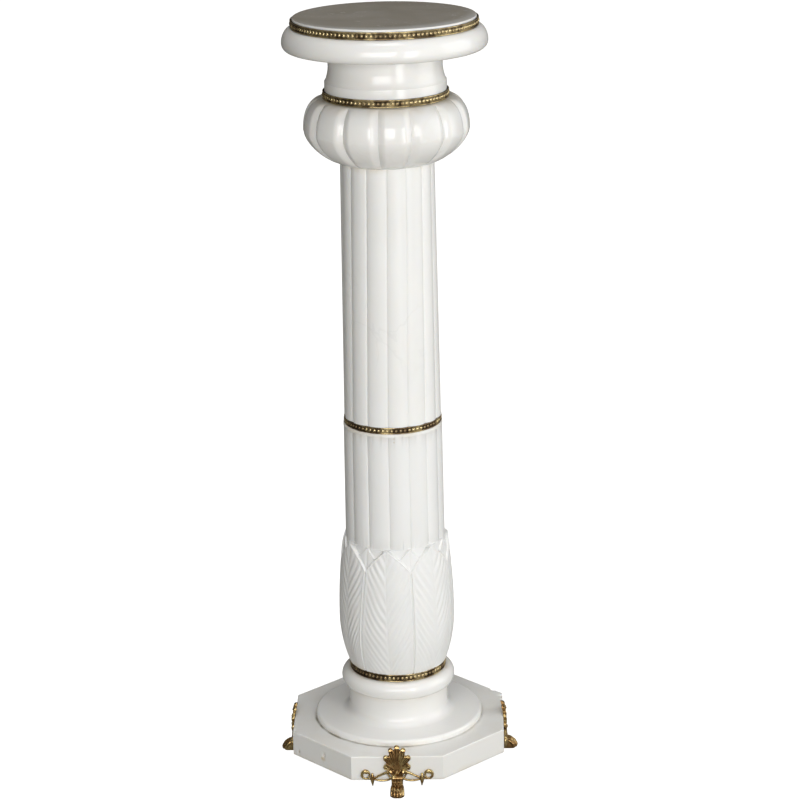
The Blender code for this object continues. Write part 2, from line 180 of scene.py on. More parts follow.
def noiseNode(tree, vector, scale, detail=3.0, roughness=0.5, distortion=0.0):
    return addNode(tree, "ShaderNodeTexNoise", {"Vector": vector, "Scale": scale, "Detail": detail,
                                                "Roughness": roughness, "Distortion": distortion})


def buildMarbleFigure():
    # clouds and thin wandering veins through the stone
    group, entry, result = newGroup("marbleFigure", [
        ("Vector", "NodeSocketVector", None), ("Ground", "NodeSocketColor", (0.82, 0.81, 0.79, 1)),
        ("Cloud", "NodeSocketColor", (0.76, 0.75, 0.74, 1)), ("Vein", "NodeSocketColor", (0.6, 0.6, 0.6, 1)),
        ("Cloud Amount", "NodeSocketFloat", 0.5), ("Vein Amount", "NodeSocketFloat", 0.4),
        ("Scale", "NodeSocketFloat", 1.0),
    ], [("Color", "NodeSocketColor"), ("Height", "NodeSocketFloat")])
    tree, take = group, entry.outputs
    place = addNode(tree, "ShaderNodeVectorMath", {0: take["Vector"], "Scale": take["Scale"]}, operation="SCALE")
    cloud = noiseNode(tree, place.outputs[0], 6.0, 3.0, 0.5, 0.3).outputs[0]
    cloudy = mathNode(tree, "MULTIPLY", rangeNode(tree, cloud, 0.3, 0.75), take["Cloud Amount"])
    ground = mixColors(tree, cloudy, take["Ground"], take["Cloud"])
    wander = noiseNode(tree, place.outputs[0], 5.0, 4.0, 0.5, 0.8).outputs[0]
    away = mathNode(tree, "ABSOLUTE", mathNode(tree, "SUBTRACT", wander, 0.5))
    line = rangeNode(tree, away, 0.0, 0.014, 1.0, 0.0)
    comesAndGoes = rangeNode(tree, noiseNode(tree, place.outputs[0], 4.0, 2.0).outputs[0], 0.48, 0.66)
    vein = mathNode(tree, "MULTIPLY", mathNode(tree, "MULTIPLY", line, comesAndGoes), take["Vein Amount"])
    tree.links.new(mixColors(tree, vein, ground, take["Vein"]), result.inputs["Color"])
    grain = noiseNode(tree, place.outputs[0], 260.0, 3.0, 0.6).outputs[0]
    tree.links.new(mathNode(tree, "SUBTRACT", grain, vein), result.inputs["Height"])
    return group


def buildSeamStain():
    # a warm stain that fades away from a joint at a given height
    group, entry, result = newGroup("seamStain", [
        ("Vector", "NodeSocketVector", None), ("Height", "NodeSocketFloat", 0.0),
        ("Spread", "NodeSocketFloat", 0.01), ("Amount", "NodeSocketFloat", 0.5),
    ], [("Mask", "NodeSocketFloat")])
    tree, take = group, entry.outputs
    height = addNode(tree, "ShaderNodeSeparateXYZ", {0: take["Vector"]}).outputs[2]
    away = mathNode(tree, "ABSOLUTE", mathNode(tree, "SUBTRACT", height, take["Height"]))
    near = mathNode(tree, "SUBTRACT", 1.0, mathNode(tree, "DIVIDE", away, take["Spread"]), clamp=True)
    patchy = rangeNode(tree, noiseNode(tree, take["Vector"], 28.0, 4.0, 0.6).outputs[0], 0.35, 0.65)
    soft = mathNode(tree, "MULTIPLY", mathNode(tree, "POWER", near, 1.6), patchy)
    tree.links.new(mathNode(tree, "MULTIPLY", soft, take["Amount"], clamp=True), result.inputs["Mask"])
    return group


def buildDustAndShadeFilm():
    # a grey-brown film on the flat above a given height, partly dust and partly painted shade, with pale marks; it
    # thins to a painted sheen along the front edge
    group, entry, result = newGroup("dustAndShadeFilm", [
        ("Vector", "NodeSocketVector", None), ("Height", "NodeSocketFloat", 1.0),
        ("Sheen Fade Centre", "NodeSocketVector", None),
    ], [("Dust And Shade", "NodeSocketFloat"), ("Marks", "NodeSocketFloat")])
    tree, take = group, entry.outputs
    height = addNode(tree, "ShaderNodeSeparateXYZ", {0: take["Vector"]}).outputs[2]
    top = rangeNode(tree, mathNode(tree, "SUBTRACT", height, take["Height"]), -0.0006, -0.0001)
    cover = rangeNode(tree, noiseNode(tree, take["Vector"], 9.0, 3.0, 0.5, 0.5).outputs[0], 0.2, 0.8, 0.8, 1.0)
    away = addNode(tree, "ShaderNodeVectorMath", {0: take["Vector"], 1: take["Sheen Fade Centre"]}, operation="DISTANCE")
    # painted sheen: the film thins away from a centre behind the middle, so the front rim of the top face is painted
    # lighter
    wearAndSheen = rangeNode(tree, away.outputs["Value"], 0.110, 0.138, 1.0, 0.35)
    tree.links.new(mathNode(tree, "MULTIPLY", mathNode(tree, "MULTIPLY", top, cover), wearAndSheen), result.inputs["Dust And Shade"])
    speck = rangeNode(tree, noiseNode(tree, take["Vector"], 110.0, 3.0, 0.6, 1.0).outputs[0], 0.60, 0.68)
    gathered = rangeNode(tree, noiseNode(tree, take["Vector"], 14.0, 2.0).outputs[0], 0.46, 0.62)
    tree.links.new(mathNode(tree, "MULTIPLY", mathNode(tree, "MULTIPLY", speck, gathered), top), result.inputs["Marks"])
    return group


def buildJointGrimeAndShade():
    # grime gathered against the foot of a round piece, with painted shade: strongest on the shaded left
    group, entry, result = newGroup("ringStain", [
        ("Vector", "NodeSocketVector", None), ("Radius", "NodeSocketFloat", 0.1),
        ("Spread", "NodeSocketFloat", 0.002), ("Amount", "NodeSocketFloat", 0.5),
    ], [("Mask", "NodeSocketFloat")])
    tree, take = group, entry.outputs
    parts = addNode(tree, "ShaderNodeSeparateXYZ", {0: take["Vector"]}).outputs
    flat = addNode(tree, "ShaderNodeCombineXYZ", {0: parts[0], 1: parts[1]}).outputs[0]
    reach = addNode(tree, "ShaderNodeVectorMath", {0: flat}, operation="LENGTH").outputs["Value"]
    away = mathNode(tree, "ABSOLUTE", mathNode(tree, "SUBTRACT", reach, take["Radius"]))
    near = mathNode(tree, "SUBTRACT", 1.0, mathNode(tree, "DIVIDE", away, take["Spread"]), clamp=True)
    patchy = rangeNode(tree, noiseNode(tree, take["Vector"], 30.0, 3.0).outputs[0], 0.35, 0.6, 0.3, 1.0)
    # painted shade: the ring is darkest on the left, the side away from the lights
    shadedLeft = rangeNode(tree, parts[0], -0.10, 0.08, 1.0, 0.3)
    soft = mathNode(tree, "MULTIPLY", mathNode(tree, "MULTIPLY", near, patchy), shadedLeft)
    tree.links.new(mathNode(tree, "MULTIPLY", soft, take["Amount"], clamp=True), result.inputs["Mask"])
    return group


def buildSpotStain():
    # one small uneven stain
    group, entry, result = newGroup("spotStain", [
        ("Vector", "NodeSocketVector", None), ("Spot", "NodeSocketVector", None),
        ("Radius", "NodeSocketFloat", 0.003), ("Amount", "NodeSocketFloat", 0.5),
    ], [("Mask", "NodeSocketFloat")])
    tree, take = group, entry.outputs
    rough = noiseNode(tree, take["Vector"], 300.0, 2.0).outputs[0]
    away = addNode(tree, "ShaderNodeVectorMath", {0: take["Vector"], 1: take["Spot"]}, operation="DISTANCE").outputs["Value"]
    share = mathNode(tree, "DIVIDE", away, take["Radius"])
    soft = rangeNode(tree, mathNode(tree, "ADD", share, rough), 0.6, 1.4, 1.0, 0.0)
    tree.links.new(mathNode(tree, "MULTIPLY", soft, take["Amount"], clamp=True), result.inputs["Mask"])
    return group


def buildOldGilding():
    # gold on the ridges, brown in the hollows, worn in patches
    group, entry, result = newGroup("oldGilding", [
        ("Vector", "NodeSocketVector", None), ("Hollow", "NodeSocketFloat", 0.5),
        ("Gold", "NodeSocketColor", (0.6, 0.42, 0.17, 1)), ("Dirt", "NodeSocketColor", (0.05, 0.03, 0.015, 1)),
        ("Rust", "NodeSocketColor", (0.3, 0.15, 0.06, 1)), ("Patina", "NodeSocketFloat", 0.0),
        ("Wear Scale", "NodeSocketFloat", 90.0),
    ], [("Color", "NodeSocketColor"), ("Roughness", "NodeSocketFloat"), ("Height", "NodeSocketFloat")])
    tree, take = group, entry.outputs
    patch = noiseNode(tree, take["Vector"], take["Wear Scale"], 4.0, 0.6).outputs[0]
    lean = mathNode(tree, "ADD", patch, mathNode(tree, "MULTIPLY", take["Patina"], 0.14))
    wearAndSheen = mixColors(tree, rangeNode(tree, lean, 0.48, 0.66), take["Gold"], take["Rust"])
    shifted = mathNode(tree, "ADD", take["Hollow"], mathNode(tree, "MULTIPLY", mathNode(tree, "SUBTRACT", patch, 0.5), 0.5))
    deep = rangeNode(tree, shifted, 0.45, 0.85)
    tree.links.new(mixColors(tree, deep, wearAndSheen, take["Dirt"]), result.inputs["Color"])
    tree.links.new(rangeNode(tree, shifted, 0.3, 0.8, 0.24, 0.62), result.inputs["Roughness"])
    tree.links.new(noiseNode(tree, take["Vector"], 700.0, 2.0).outputs[0], result.inputs["Height"])
    return group


marbleFigure = buildMarbleFigure()
seamStain = buildSeamStain()
dustAndShadeFilm = buildDustAndShadeFilm()
ringStain = buildJointGrimeAndShade()
spotStain = buildSpotStain()
oldGilding = buildOldGilding()

floorLevels = {name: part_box(name)[0].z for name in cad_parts}


def marbleFinish(name, look):
    # look: the colours and amounts of one kind of marble; its stains are (height, spread, amount)
    material = bpy.data.materials.new(name)
    material.use_nodes = True
    tree = material.node_tree
    shader = tree.nodes["Principled BSDF"]
    place = addNode(tree, "ShaderNodeTexCoord").outputs["Object"]
    figure = addNode(tree, "ShaderNodeGroup", node_tree=marbleFigure)
    tree.links.new(place, figure.inputs["Vector"])
    for key in ("Ground", "Cloud", "Vein"):
        figure.inputs[key].default_value = (*look[key], 1)
    for key in ("Cloud Amount", "Vein Amount", "Scale"):
        figure.inputs[key].default_value = look[key]
    color = figure.outputs["Color"]
    for height, spread, amount in look["stains"]:
        stain = addNode(tree, "ShaderNodeGroup", node_tree=seamStain)
        tree.links.new(place, stain.inputs["Vector"])
        stain.inputs["Height"].default_value = height
        stain.inputs["Spread"].default_value = spread
        stain.inputs["Amount"].default_value = amount
        color = mixColors(tree, stain.outputs["Mask"], color, (*look["stainColor"], 1))
    # painted shade and dust: a grey-brown film darkens the slab's top face, with pale specks on it
    if "topFaceHeight" in look:
        dustShade = addNode(tree, "ShaderNodeGroup", node_tree=dustAndShadeFilm)
        tree.links.new(place, dustShade.inputs["Vector"])
        dustShade.inputs["Height"].default_value = look["topFaceHeight"]
        # the fade centre sits behind the middle, so the painted sheen lies along the front rim
        dustShade.inputs["Sheen Fade Centre"].default_value = (-0.008, 0.022, look["topFaceHeight"])
        color = mixColors(tree, dustShade.outputs["Dust And Shade"], color, (*look["dustShadeColor"], 1))
        color = mixColors(tree, dustShade.outputs["Marks"], color, (*look["markColor"], 1))
    # grime and painted contact shade round the socle's foot on the plinth
    if "ring" in look:
        ring = addNode(tree, "ShaderNodeGroup", node_tree=ringStain)
        tree.links.new(place, ring.inputs["Vector"])
        for key, value in zip(("Radius", "Spread", "Amount"), look["ring"]):
            ring.inputs[key].default_value = value
        color = mixColors(tree, ring.outputs["Mask"], color, (*look["ringGrimeShadeColor"], 1))
    for spot, radius, amount in look.get("spots", []):
        stain = addNode(tree, "ShaderNodeGroup", node_tree=spotStain)
        tree.links.new(place, stain.inputs["Vector"])
        stain.inputs["Spot"].default_value = spot
        stain.inputs["Radius"].default_value = radius
        stain.inputs["Amount"].default_value = amount
        color = mixColors(tree, stain.outputs["Mask"], color, (*look["stainColor"], 1))
    hollow = addNode(tree, "ShaderNodeAttribute", attribute_name="hollow").outputs["Fac"]
    grime = mathNode(tree, "MULTIPLY", rangeNode(tree, hollow, 0.55, 1.0), look["grime"])
    color = mixColors(tree, grime, color, (*look["grimeColor"], 1))
    tree.links.new(color, shader.inputs["Base Color"])
    blotch = noiseNode(tree, place, 18.0, 3.0).outputs[0]
    tree.links.new(rangeNode(tree, blotch, 0.3, 0.7, look["gloss"][0], look["gloss"][1]), shader.inputs["Roughness"])
    bump = addNode(tree, "ShaderNodeBump", {"Height": figure.outputs["Height"], "Strength": look["bump"],
                                            "Distance": 0.0002})
    tree.links.new(bump.outputs[0], shader.inputs["Normal"])
    shader.inputs["Subsurface Weight"].default_value = look["glow"]
    shader.inputs["Subsurface Radius"].default_value = (1.0, 0.8, 0.6)
    shader.inputs["Subsurface Scale"].default_value = 0.004
    return material


marbleLooks = {
    "polished": {
        "Ground": (0.84, 0.836, 0.815), "Cloud": (0.81, 0.80, 0.775), "Vein": (0.66, 0.62, 0.55),
        "Cloud Amount": 0.7, "Vein Amount": 0.08, "Scale": 1.0, "gloss": (0.12, 0.20), "bump": 0.02, "glow": 0.25,
        "stainColor": (0.62, 0.50, 0.33), "grime": 0.20, "grimeColor": (0.45, 0.40, 0.32),
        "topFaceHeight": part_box("top_slab")[1].z, "dustShadeColor": (0.345, 0.31, 0.255), "markColor": (0.60, 0.59, 0.55),
        "stains": [
            (floorLevels["neck"] - 0.001, 0.012, 0.35),
            (floorLevels["top_slab"], 0.006, 0.20),
            (floorLevels["base_socle"], 0.009, 0.50),
            (floorLevels["base_socle"] + 0.048, 0.007, 0.35),
            (floorLevels["lower_shaft"], 0.006, 0.30),
        ],
    },
    "shaft": {
        "Ground": (0.85, 0.85, 0.832), "Cloud": (0.82, 0.818, 0.80), "Vein": (0.60, 0.60, 0.59),
        "Cloud Amount": 0.6, "Vein Amount": 0.15, "Scale": 1.4, "gloss": (0.28, 0.40), "bump": 0.03, "glow": 0.2,
        "stainColor": (0.66, 0.55, 0.38), "grime": 0.35, "grimeColor": (0.52, 0.49, 0.44),
        "stains": [
            (floorLevels["gadrooned_cushion"], 0.010, 0.55),
            (floorLevels["upper_shaft"], 0.010, 0.35),
        ],
    },
    "carved": {
        "Ground": (0.835, 0.838, 0.826), "Cloud": (0.81, 0.812, 0.80), "Vein": (0.66, 0.66, 0.66),
        "Cloud Amount": 0.6, "Vein Amount": 0.12, "Scale": 1.2, "gloss": (0.42, 0.58), "bump": 0.12, "glow": 0.15,
        "stainColor": (0.66, 0.55, 0.38), "grime": 0.40, "grimeColor": (0.50, 0.49, 0.46),
        "stains": [
            (floorLevels["upper_shaft"], 0.012, 0.45),
            (floorLevels["lower_shaft"] + 0.010, 0.012, 0.45),
        ],
        "spots": [((0.0023, -0.0664, 0.4735), 0.0025, 0.6), ((0.0027, -0.0664, 0.4695), 0.0020, 0.6)],
    },
    "plinth": {
        "Ground": (0.83, 0.825, 0.80), "Cloud": (0.79, 0.785, 0.755), "Vein": (0.62, 0.59, 0.54),
        "Cloud Amount": 0.7, "Vein Amount": 0.0, "Scale": 1.3, "gloss": (0.28, 0.40), "bump": 0.02, "glow": 0.2,
        "stainColor": (0.62, 0.52, 0.36), "grime": 0.45, "grimeColor": (0.40, 0.37, 0.30),
        "ring": (0.1152, 0.0026, 1.0), "ringGrimeShadeColor": (0.13, 0.11, 0.06),
        "stains": [
            (floorLevels["base_socle"], 0.003, 0.12),
            (floorLevels["plinth"], 0.010, 0.35),
        ],
        "spots": [((-0.1010, -0.1042, 0.0325), 0.0062, 0.9), ((-0.1362, -0.0691, 0.0265), 0.0030, 0.9),
                  ((0.1441, 0.0480, 0.0500), 0.0060, 0.5)],
    },
}
polishedMarble = marbleFinish("polishedMarble", marbleLooks["polished"])
shaftMarble = marbleFinish("shaftMarble", marbleLooks["shaft"])
carvedMarble = marbleFinish("carvedMarble", marbleLooks["carved"])
plinthMarble = marbleFinish("plinthMarble", marbleLooks["plinth"])


def giltFinish(name, look):
    material = bpy.data.materials.new(name)
    material.use_nodes = True
    tree = material.node_tree
    shader = tree.nodes["Principled BSDF"]
    place = addNode(tree, "ShaderNodeTexCoord").outputs["Object"]
    hollow = addNode(tree, "ShaderNodeAttribute", attribute_name="hollow").outputs["Fac"]
    gilding = addNode(tree, "ShaderNodeGroup", node_tree=oldGilding)
    tree.links.new(place, gilding.inputs["Vector"])
    tree.links.new(hollow, gilding.inputs["Hollow"])
    patina = addNode(tree, "ShaderNodeAttribute", attribute_name="patina").outputs["Fac"]
    tree.links.new(patina, gilding.inputs["Patina"])
    for key in ("Gold", "Dirt", "Rust"):
        gilding.inputs[key].default_value = (*look[key], 1)
    gilding.inputs["Wear Scale"].default_value = look["wearScale"]
    tree.links.new(gilding.outputs["Color"], shader.inputs["Base Color"])
    tree.links.new(gilding.outputs["Roughness"], shader.inputs["Roughness"])
    bump = addNode(tree, "ShaderNodeBump", {"Height": gilding.outputs["Height"], "Strength": 0.15,
                                            "Distance": 0.0001})
    tree.links.new(bump.outputs[0], shader.inputs["Normal"])
    shader.inputs["Metallic"].default_value = 1.0
    return material


giltLooks = {
    "bands": {"Gold": (0.68, 0.55, 0.30), "Dirt": (0.030, 0.022, 0.013), "Rust": (0.22, 0.15, 0.08), "wearScale": 60.0},
    "feet": {"Gold": (0.54, 0.41, 0.19), "Dirt": (0.05, 0.03, 0.012), "Rust": (0.34, 0.20, 0.08), "wearScale": 110.0},
}
beadedGilt = giltFinish("beadedGilt", giltLooks["bands"])
castGilt = giltFinish("castGilt", giltLooks["feet"])
print("column: finishes made")


# Turned marble: the top slab, neck and socle

turnedSizes = {
    "columns": 192,
    "slabUndersideRadius": 0.1240, "slabBellyHeight": 0.0096, "slabShoulderRadius": 0.1190,
    "discRadius": 0.1183, "discRise": 0.0128, "discArris": 0.0016,
    "neckRadius": 0.0740, "neckFootHeight": 0.0219, "neckFlareHeight": 0.0180, "neckFlareFullness": 1.5,
    "socleWaistRadius": 0.0662, "socleTorusRadius": 0.0774, "socleTorusHeight": 0.0245,
    "socleRimHeight": 0.0050, "socleRimRound": 0.0040,
    "scotiaFootRadius": 0.0672, "scotiaSweep": 0.0125, "flangeFall": 0.0006,
}


def lifted(profile, height):
    return [(radius, z + height) for radius, z in profile]


def flatFace(radius, height, inwards):
    # rings across a flat end, so that its shading stays flat beside a rounded arris
    shares = (0.25, 0.6, 0.9, 0.985)
    rings = [(radius * share, height) for share in shares]
    return rings[::-1] if inwards else rings


def makeTopSlab():
    size = turnedSizes
    low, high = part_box("top_slab")
    height, radius = high.z - low.z, nodeRadius("top_slab")
    ledge = height - size["discRise"]
    under = size["slabUndersideRadius"]
    profile = flatFace(under, 0, False) + [(under, 0)]
    profile += arcPoints((under, size["slabBellyHeight"]), (radius - under, size["slabBellyHeight"]), -90, 0, 10)[1:]
    profile += arcPoints((size["slabShoulderRadius"], size["slabBellyHeight"]),
                         (radius - size["slabShoulderRadius"], ledge - size["slabBellyHeight"]), 0, 86, 16)[1:]
    disc, arris = size["discRadius"], size["discArris"]
    profile += [(disc, ledge - 0.0004), (disc, ledge + 0.001)]
    profile += arcPoints((disc - arris, height - arris), (arris, arris), 0, 90, 4)
    profile += flatFace(disc - arris, height, True)
    mesh = meshFromGrid("topSlab", turnedGrid(lifted(profile, low.z), size["columns"]))
    storeHollow(mesh, 2.0)
    return newPiece("topSlab", mesh, polishedMarble, ["top_slab"])


def makeNeck():
    size = turnedSizes
    low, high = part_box("neck")
    height, foot, radius = high.z - low.z, nodeRadius("neck"), size["neckRadius"]
    flareTop = size["neckFootHeight"] + size["neckFlareHeight"]
    profile = flatFace(foot, 0, False) + [(foot, 0), (foot, size["neckFootHeight"] - 0.0015)]
    profile += arcPoints((foot, flareTop), (foot - radius, size["neckFlareHeight"]), 266, 180, 20,
                         size["neckFlareFullness"])
    profile += [(radius, height - 0.001), (radius - 0.0008, height)] + flatFace(radius - 0.0008, height, True)
    mesh = meshFromGrid("neck", turnedGrid(lifted(profile, low.z), size["columns"]))
    storeHollow(mesh, 2.0)
    return newPiece("neckDrum", mesh, polishedMarble, ["neck"])


def makeSocle():
    size = turnedSizes
    low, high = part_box("base_socle")
    height, radius = high.z - low.z, nodeRadius("base_socle")
    waist, torusHeight = size["socleWaistRadius"], size["socleTorusHeight"]
    rimRound, sweep = size["socleRimRound"], size["scotiaSweep"]
    flangeEnd = radius - rimRound
    sweepHeight = size["socleRimHeight"] + rimRound + size["flangeFall"] + sweep
    profile = flatFace(radius - 0.001, 0, False)
    profile += [(radius - 0.0008, 0), (radius, 0.0008), (radius, size["socleRimHeight"])]
    profile += arcPoints((flangeEnd, size["socleRimHeight"]), (rimRound, rimRound), 0, 88, 7)[1:]
    profile += arcPoints((size["scotiaFootRadius"] + sweep, sweepHeight), (sweep, sweep), 268, 180, 22)
    profile += arcPoints((waist, height - torusHeight / 2),
                         (size["socleTorusRadius"] - waist, torusHeight / 2), -90, 90, 24)[1:]
    profile += flatFace(waist, height, True)
    mesh = meshFromGrid("socle", turnedGrid(lifted(profile, low.z), size["columns"]))
    storeHollow(mesh, 2.0)
    return newPiece("baseSocle", mesh, polishedMarble, ["base_socle"])


makeTopSlab()
makeNeck()
makeSocle()
print("column: turned marble made")


# Carved marble: cushion, shafts and calyx

carving = {
    "turn": -96.2,           # bearing of the front groove and of the front leaf's midrib, in degrees
    "flutes": 14, "fluteDepth": 0.0025, "fluteCrown": 0.0021, "grooveShare": 0.09,
    # the carver's spacing: (bearing from the front groove, how far its groove strays), in degrees
    "shaftDrift": [(-103, 0.0), (-51.4, 1.7), (-25.7, 1.5), (0, 1.8), (51.4, -0.5), (77.1, -3.8), (130, 0.0)],
    "cushionDrift": [(-103, 0.0), (-51.4, -1.5), (-25.7, 1.1), (0, 1.7), (25.7, 0.2), (51.4, 1.4), (130, 0.0)],
}


def driftedBearings(bearings, drifts):
    table = np.radians(np.array(sorted(drifts)))
    return bearings + np.interp(bearings, table[:, 0], table[:, 1], period=2 * math.pi)


def fluteRelief(across):
    # across: -1 to 1 over one flute; how far its surface lies inside the crest
    size = carving
    edge = ((np.abs(across) - 1 + size["grooveShare"]) / size["grooveShare"]).clip(0, 1)
    groove = size["fluteDepth"] - size["fluteCrown"]
    return size["fluteCrown"] * np.abs(across) ** 2.4 + groove * edge ** 2 * (3 - 2 * edge)


def carvedGrid(rows):
    # rows of (bearings, radii, height)
    grid = []
    for bearings, radii, height in rows:
        turn = bearings + math.radians(carving["turn"])
        grid.append(np.stack([radii * np.cos(turn), radii * np.sin(turn), np.full_like(turn, height)], -1))
    return np.array(grid)


def fluteBearings(perFlute, drifts):
    # columns closer together in the grooves
    even = np.linspace(-1, 1, perFlute, endpoint=False)
    across = np.sign(even) * (1 - (1 - np.abs(even)) ** 1.7)
    count = carving["flutes"]
    bearings = np.concatenate([(n + 0.5 + across / 2) * 2 * math.pi / count for n in range(count)])
    return driftedBearings(bearings, drifts), np.tile(across, count)


cushionSizes = {"topRadius": 0.0835, "bellyRadius": 0.1080, "footRadius": 0.0600, "bellyHeight": 0.0425,
                "upperFullness": 2.2, "lowerFullness": 1.55,
                "lobeDepth": 0.0055, "crownShare": 0.55, "perLobe": 36, "steps": 56}


def makeCushion():
    size = cushionSizes
    low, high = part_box("gadrooned_cushion")
    height, belly = high.z - low.z, size["bellyRadius"]
    bearings, across = fluteBearings(size["perLobe"], carving["cushionDrift"])
    shoulder = ((np.abs(across) - size["crownShare"]) / (1 - size["crownShare"])).clip(0, 1)
    fall = shoulder ** 1.5
    rows = [(bearings, np.full_like(bearings, size["footRadius"] * share), low.z) for share in (0.3, 0.8, 0.97)]
    for angle in np.radians(np.linspace(-90, 90, size["steps"])):
        fullness = size["upperFullness"] if angle > 0 else size["lowerFullness"]
        out = max(0.0, math.cos(angle)) ** (2 / fullness)
        rise = math.copysign(abs(math.sin(angle)) ** (2 / fullness), angle)
        end = size["topRadius"] if angle > 0 else size["footRadius"]
        reach = height - size["bellyHeight"] if angle > 0 else size["bellyHeight"]
        depth = size["lobeDepth"] * min(1.0, 1.6 * out)
        radii = end + (belly - end) * out - depth * fall
        rows.append((bearings, radii, low.z + size["bellyHeight"] + reach * rise))
    rows += [(bearings, np.full_like(bearings, size["topRadius"] * share), high.z) for share in (0.97, 0.8, 0.3)]
    mesh = meshFromGrid("cushion", carvedGrid(rows))
    storeHollow(mesh, 2.5)
    return newPiece("gadroonedCushion", mesh, polishedMarble, ["gadrooned_cushion"], 50)


upperShaftSizes = {"footRadius": 0.0651, "topRadius": 0.0615, "seatRadius": 0.0624, "seatHeight": 0.0089,
                   "twist": 5.0, "perFlute": 24, "steps": 40}


def makeUpperShaft():
    size = upperShaftSizes
    low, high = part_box("upper_shaft")
    height = high.z - low.z
    bearings, across = fluteBearings(size["perFlute"], carving["shaftDrift"])
    relief = fluteRelief(across)
    seat = np.full_like(bearings, size["seatRadius"])
    rows = [(bearings, seat, low.z), (bearings, seat, low.z + size["seatHeight"])]
    for share in np.linspace(0, 1, size["steps"]):
        z = size["seatHeight"] + (height - size["seatHeight"]) * share
        radius = size["footRadius"] + (size["topRadius"] - size["footRadius"]) * z / height
        rows.append((bearings + math.radians(size["twist"]) * share, radius - relief, low.z + z))
    mesh = meshFromGrid("upperShaft", carvedGrid(rows))
    storeHollow(mesh, 3.0)
    return newPiece("upperShaft", mesh, shaftMarble, ["upper_shaft"])


calyxSizes = {
    "leaves": 7, "footRadius": 0.0660, "bellyRadius": 0.0781, "tipRadius": 0.0706, "bellyHeight": 0.0782,
    "shoulderHeight": 0.1582, "tipHeight": 0.1912, "roundness": 1.4, "lip": 0.03, "backDrop": 0.0018,
    "groove": 0.0025, "grooveShare": 0.042, "rimHeight": 0.0005, "rimWidth": 0.020, "ribDepth": 0.0005,
    "veinDepth": 0.0010, "veinRise": 0.062, "veinPitchLow": 0.0115, "veinPitchHigh": 0.0205,
    "veinWander": 0.0022, "bow": 0.0006, "tipFlare": 0.0008,
    "shaftFootRadius": 0.0674, "shaftTopRadius": 0.0662, "collarHeight": 0.0042, "seatRadius": 0.0633, "seatHeight": 0.0108,
    "leafColumns": 30, "gapColumns": 6, "backColumns": 8, "bodySteps": 96, "tipSteps": 28, "shaftSteps": 10,
    # as the shafts' drift, at the tips and at the calyx's foot
    "tipDrift": [(-103, 0.0), (-51.4, 0.5), (-25.7, 0.0), (0, -3.0), (25.7, -2.2), (51.4, -1.5), (130, 0.0)],
    "footDrift": [(-103, 0.0), (-51.4, -2.0), (-25.7, -8.5), (0, -0.8), (25.7, 0.0), (51.4, 0.0), (130, 0.0)],
}


def calyxRadius(height):
    size = calyxSizes
    if height < size["bellyHeight"]:
        share = (size["bellyHeight"] - height) / (size["bellyHeight"] - size["seatHeight"])
        return size["bellyRadius"] - (size["bellyRadius"] - size["footRadius"]) * share ** 2
    share = (height - size["bellyHeight"]) / (size["tipHeight"] - size["bellyHeight"])
    return size["bellyRadius"] - (size["bellyRadius"] - size["tipRadius"]) * share ** 2


def calyxRow(height):
    # shares from a leaf's midrib (0) to the groove beside it (1), their radii, and where this leaf ends
    size = calyxSizes
    outer, shaft, lip = calyxRadius(height), size["shaftFootRadius"], size["lip"]
    rise = max(0.0, (height - size["shoulderHeight"]) / (size["tipHeight"] - size["shoulderHeight"]))
    leaf = np.linspace(0, 1, size["leafColumns"])
    if rise == 0:
        edge = 1 - size["grooveShare"]
        across = np.linspace(0, 1, size["gapColumns"] + size["backColumns"] + 1)[1:]
        shares = np.concatenate([leaf * edge, edge + (1 - edge) * across])
        depth = np.concatenate([0 * leaf, size["groove"] * np.sin(across * math.pi / 2) ** 0.8])
        return shares, outer - depth, edge
    edge = max(2 * lip, 1 - rise ** size["roundness"])
    behind = max(shaft, outer - size["backDrop"])
    start, back = edge + lip, max(lip, 1 - rise)
    shaftShows = 1 - back > start + lip
    backStart = 1 - back if shaftShows else start + (1 - start) * 0.4
    gap = np.linspace(start, backStart - (lip if shaftShows else 0.002), size["gapColumns"])
    gapLevel = shaft - fluteRelief(2 * gap - 1) if shaftShows else np.full_like(gap, behind - 0.0006)
    rear = np.linspace(backStart, 1, size["backColumns"])
    rearRib = 0.0006 * np.exp(-((1 - rear) / 0.04) ** 2)
    front = np.full_like(leaf, outer + size["tipFlare"] * rise ** 2)
    return np.concatenate([leaf * edge, gap, rear]), np.concatenate([front, gapLevel, behind - rearRib]), edge


def wholeRing(half, mirrored=1):
    # one half leaf's values mirrored, then repeated round the shaft
    oneLeaf = np.concatenate([half, mirrored * half[1:-1][::-1] + (2 if mirrored < 0 else 0)])
    return np.tile(oneLeaf, calyxSizes["leaves"])


def leafRelief(share, edge, height, wander):
    # rim, midrib and slanting veins; share and height are grids, wander a noise over them
    size = calyxSizes
    pitch, stretch = size["veinPitchLow"], (size["veinPitchHigh"] - size["veinPitchLow"]) / size["shoulderHeight"]
    along = height - size["veinRise"] * share ** 1.1 + size["veinWander"] * wander
    turns = np.log((1 + stretch * along / pitch).clip(0.05)) / stretch
    vein = (0.5 - 0.5 * np.cos(2 * math.pi * turns)) ** 0.75
    onLeaf = share <= edge + 1e-6
    inside = (share / 0.09).clip(0, 1) * ((edge - 0.05 - share) / 0.10).clip(0, 1)
    fade = (0.75 + 0.35 * np.roll(wander, 7, 1)).clip(0.3, 1.1)
    rim = size["rimHeight"] * np.exp(-((share - edge + 1.6 * size["rimWidth"]) / size["rimWidth"]) ** 2)
    rib = size["ribDepth"] * np.exp(-(share / 0.022) ** 2)
    bow = size["bow"] * np.sin(math.pi * (share / edge).clip(0, 1))
    return onLeaf * (rim - rib + inside * (bow - size["veinDepth"] * fade * (1 - vein)))


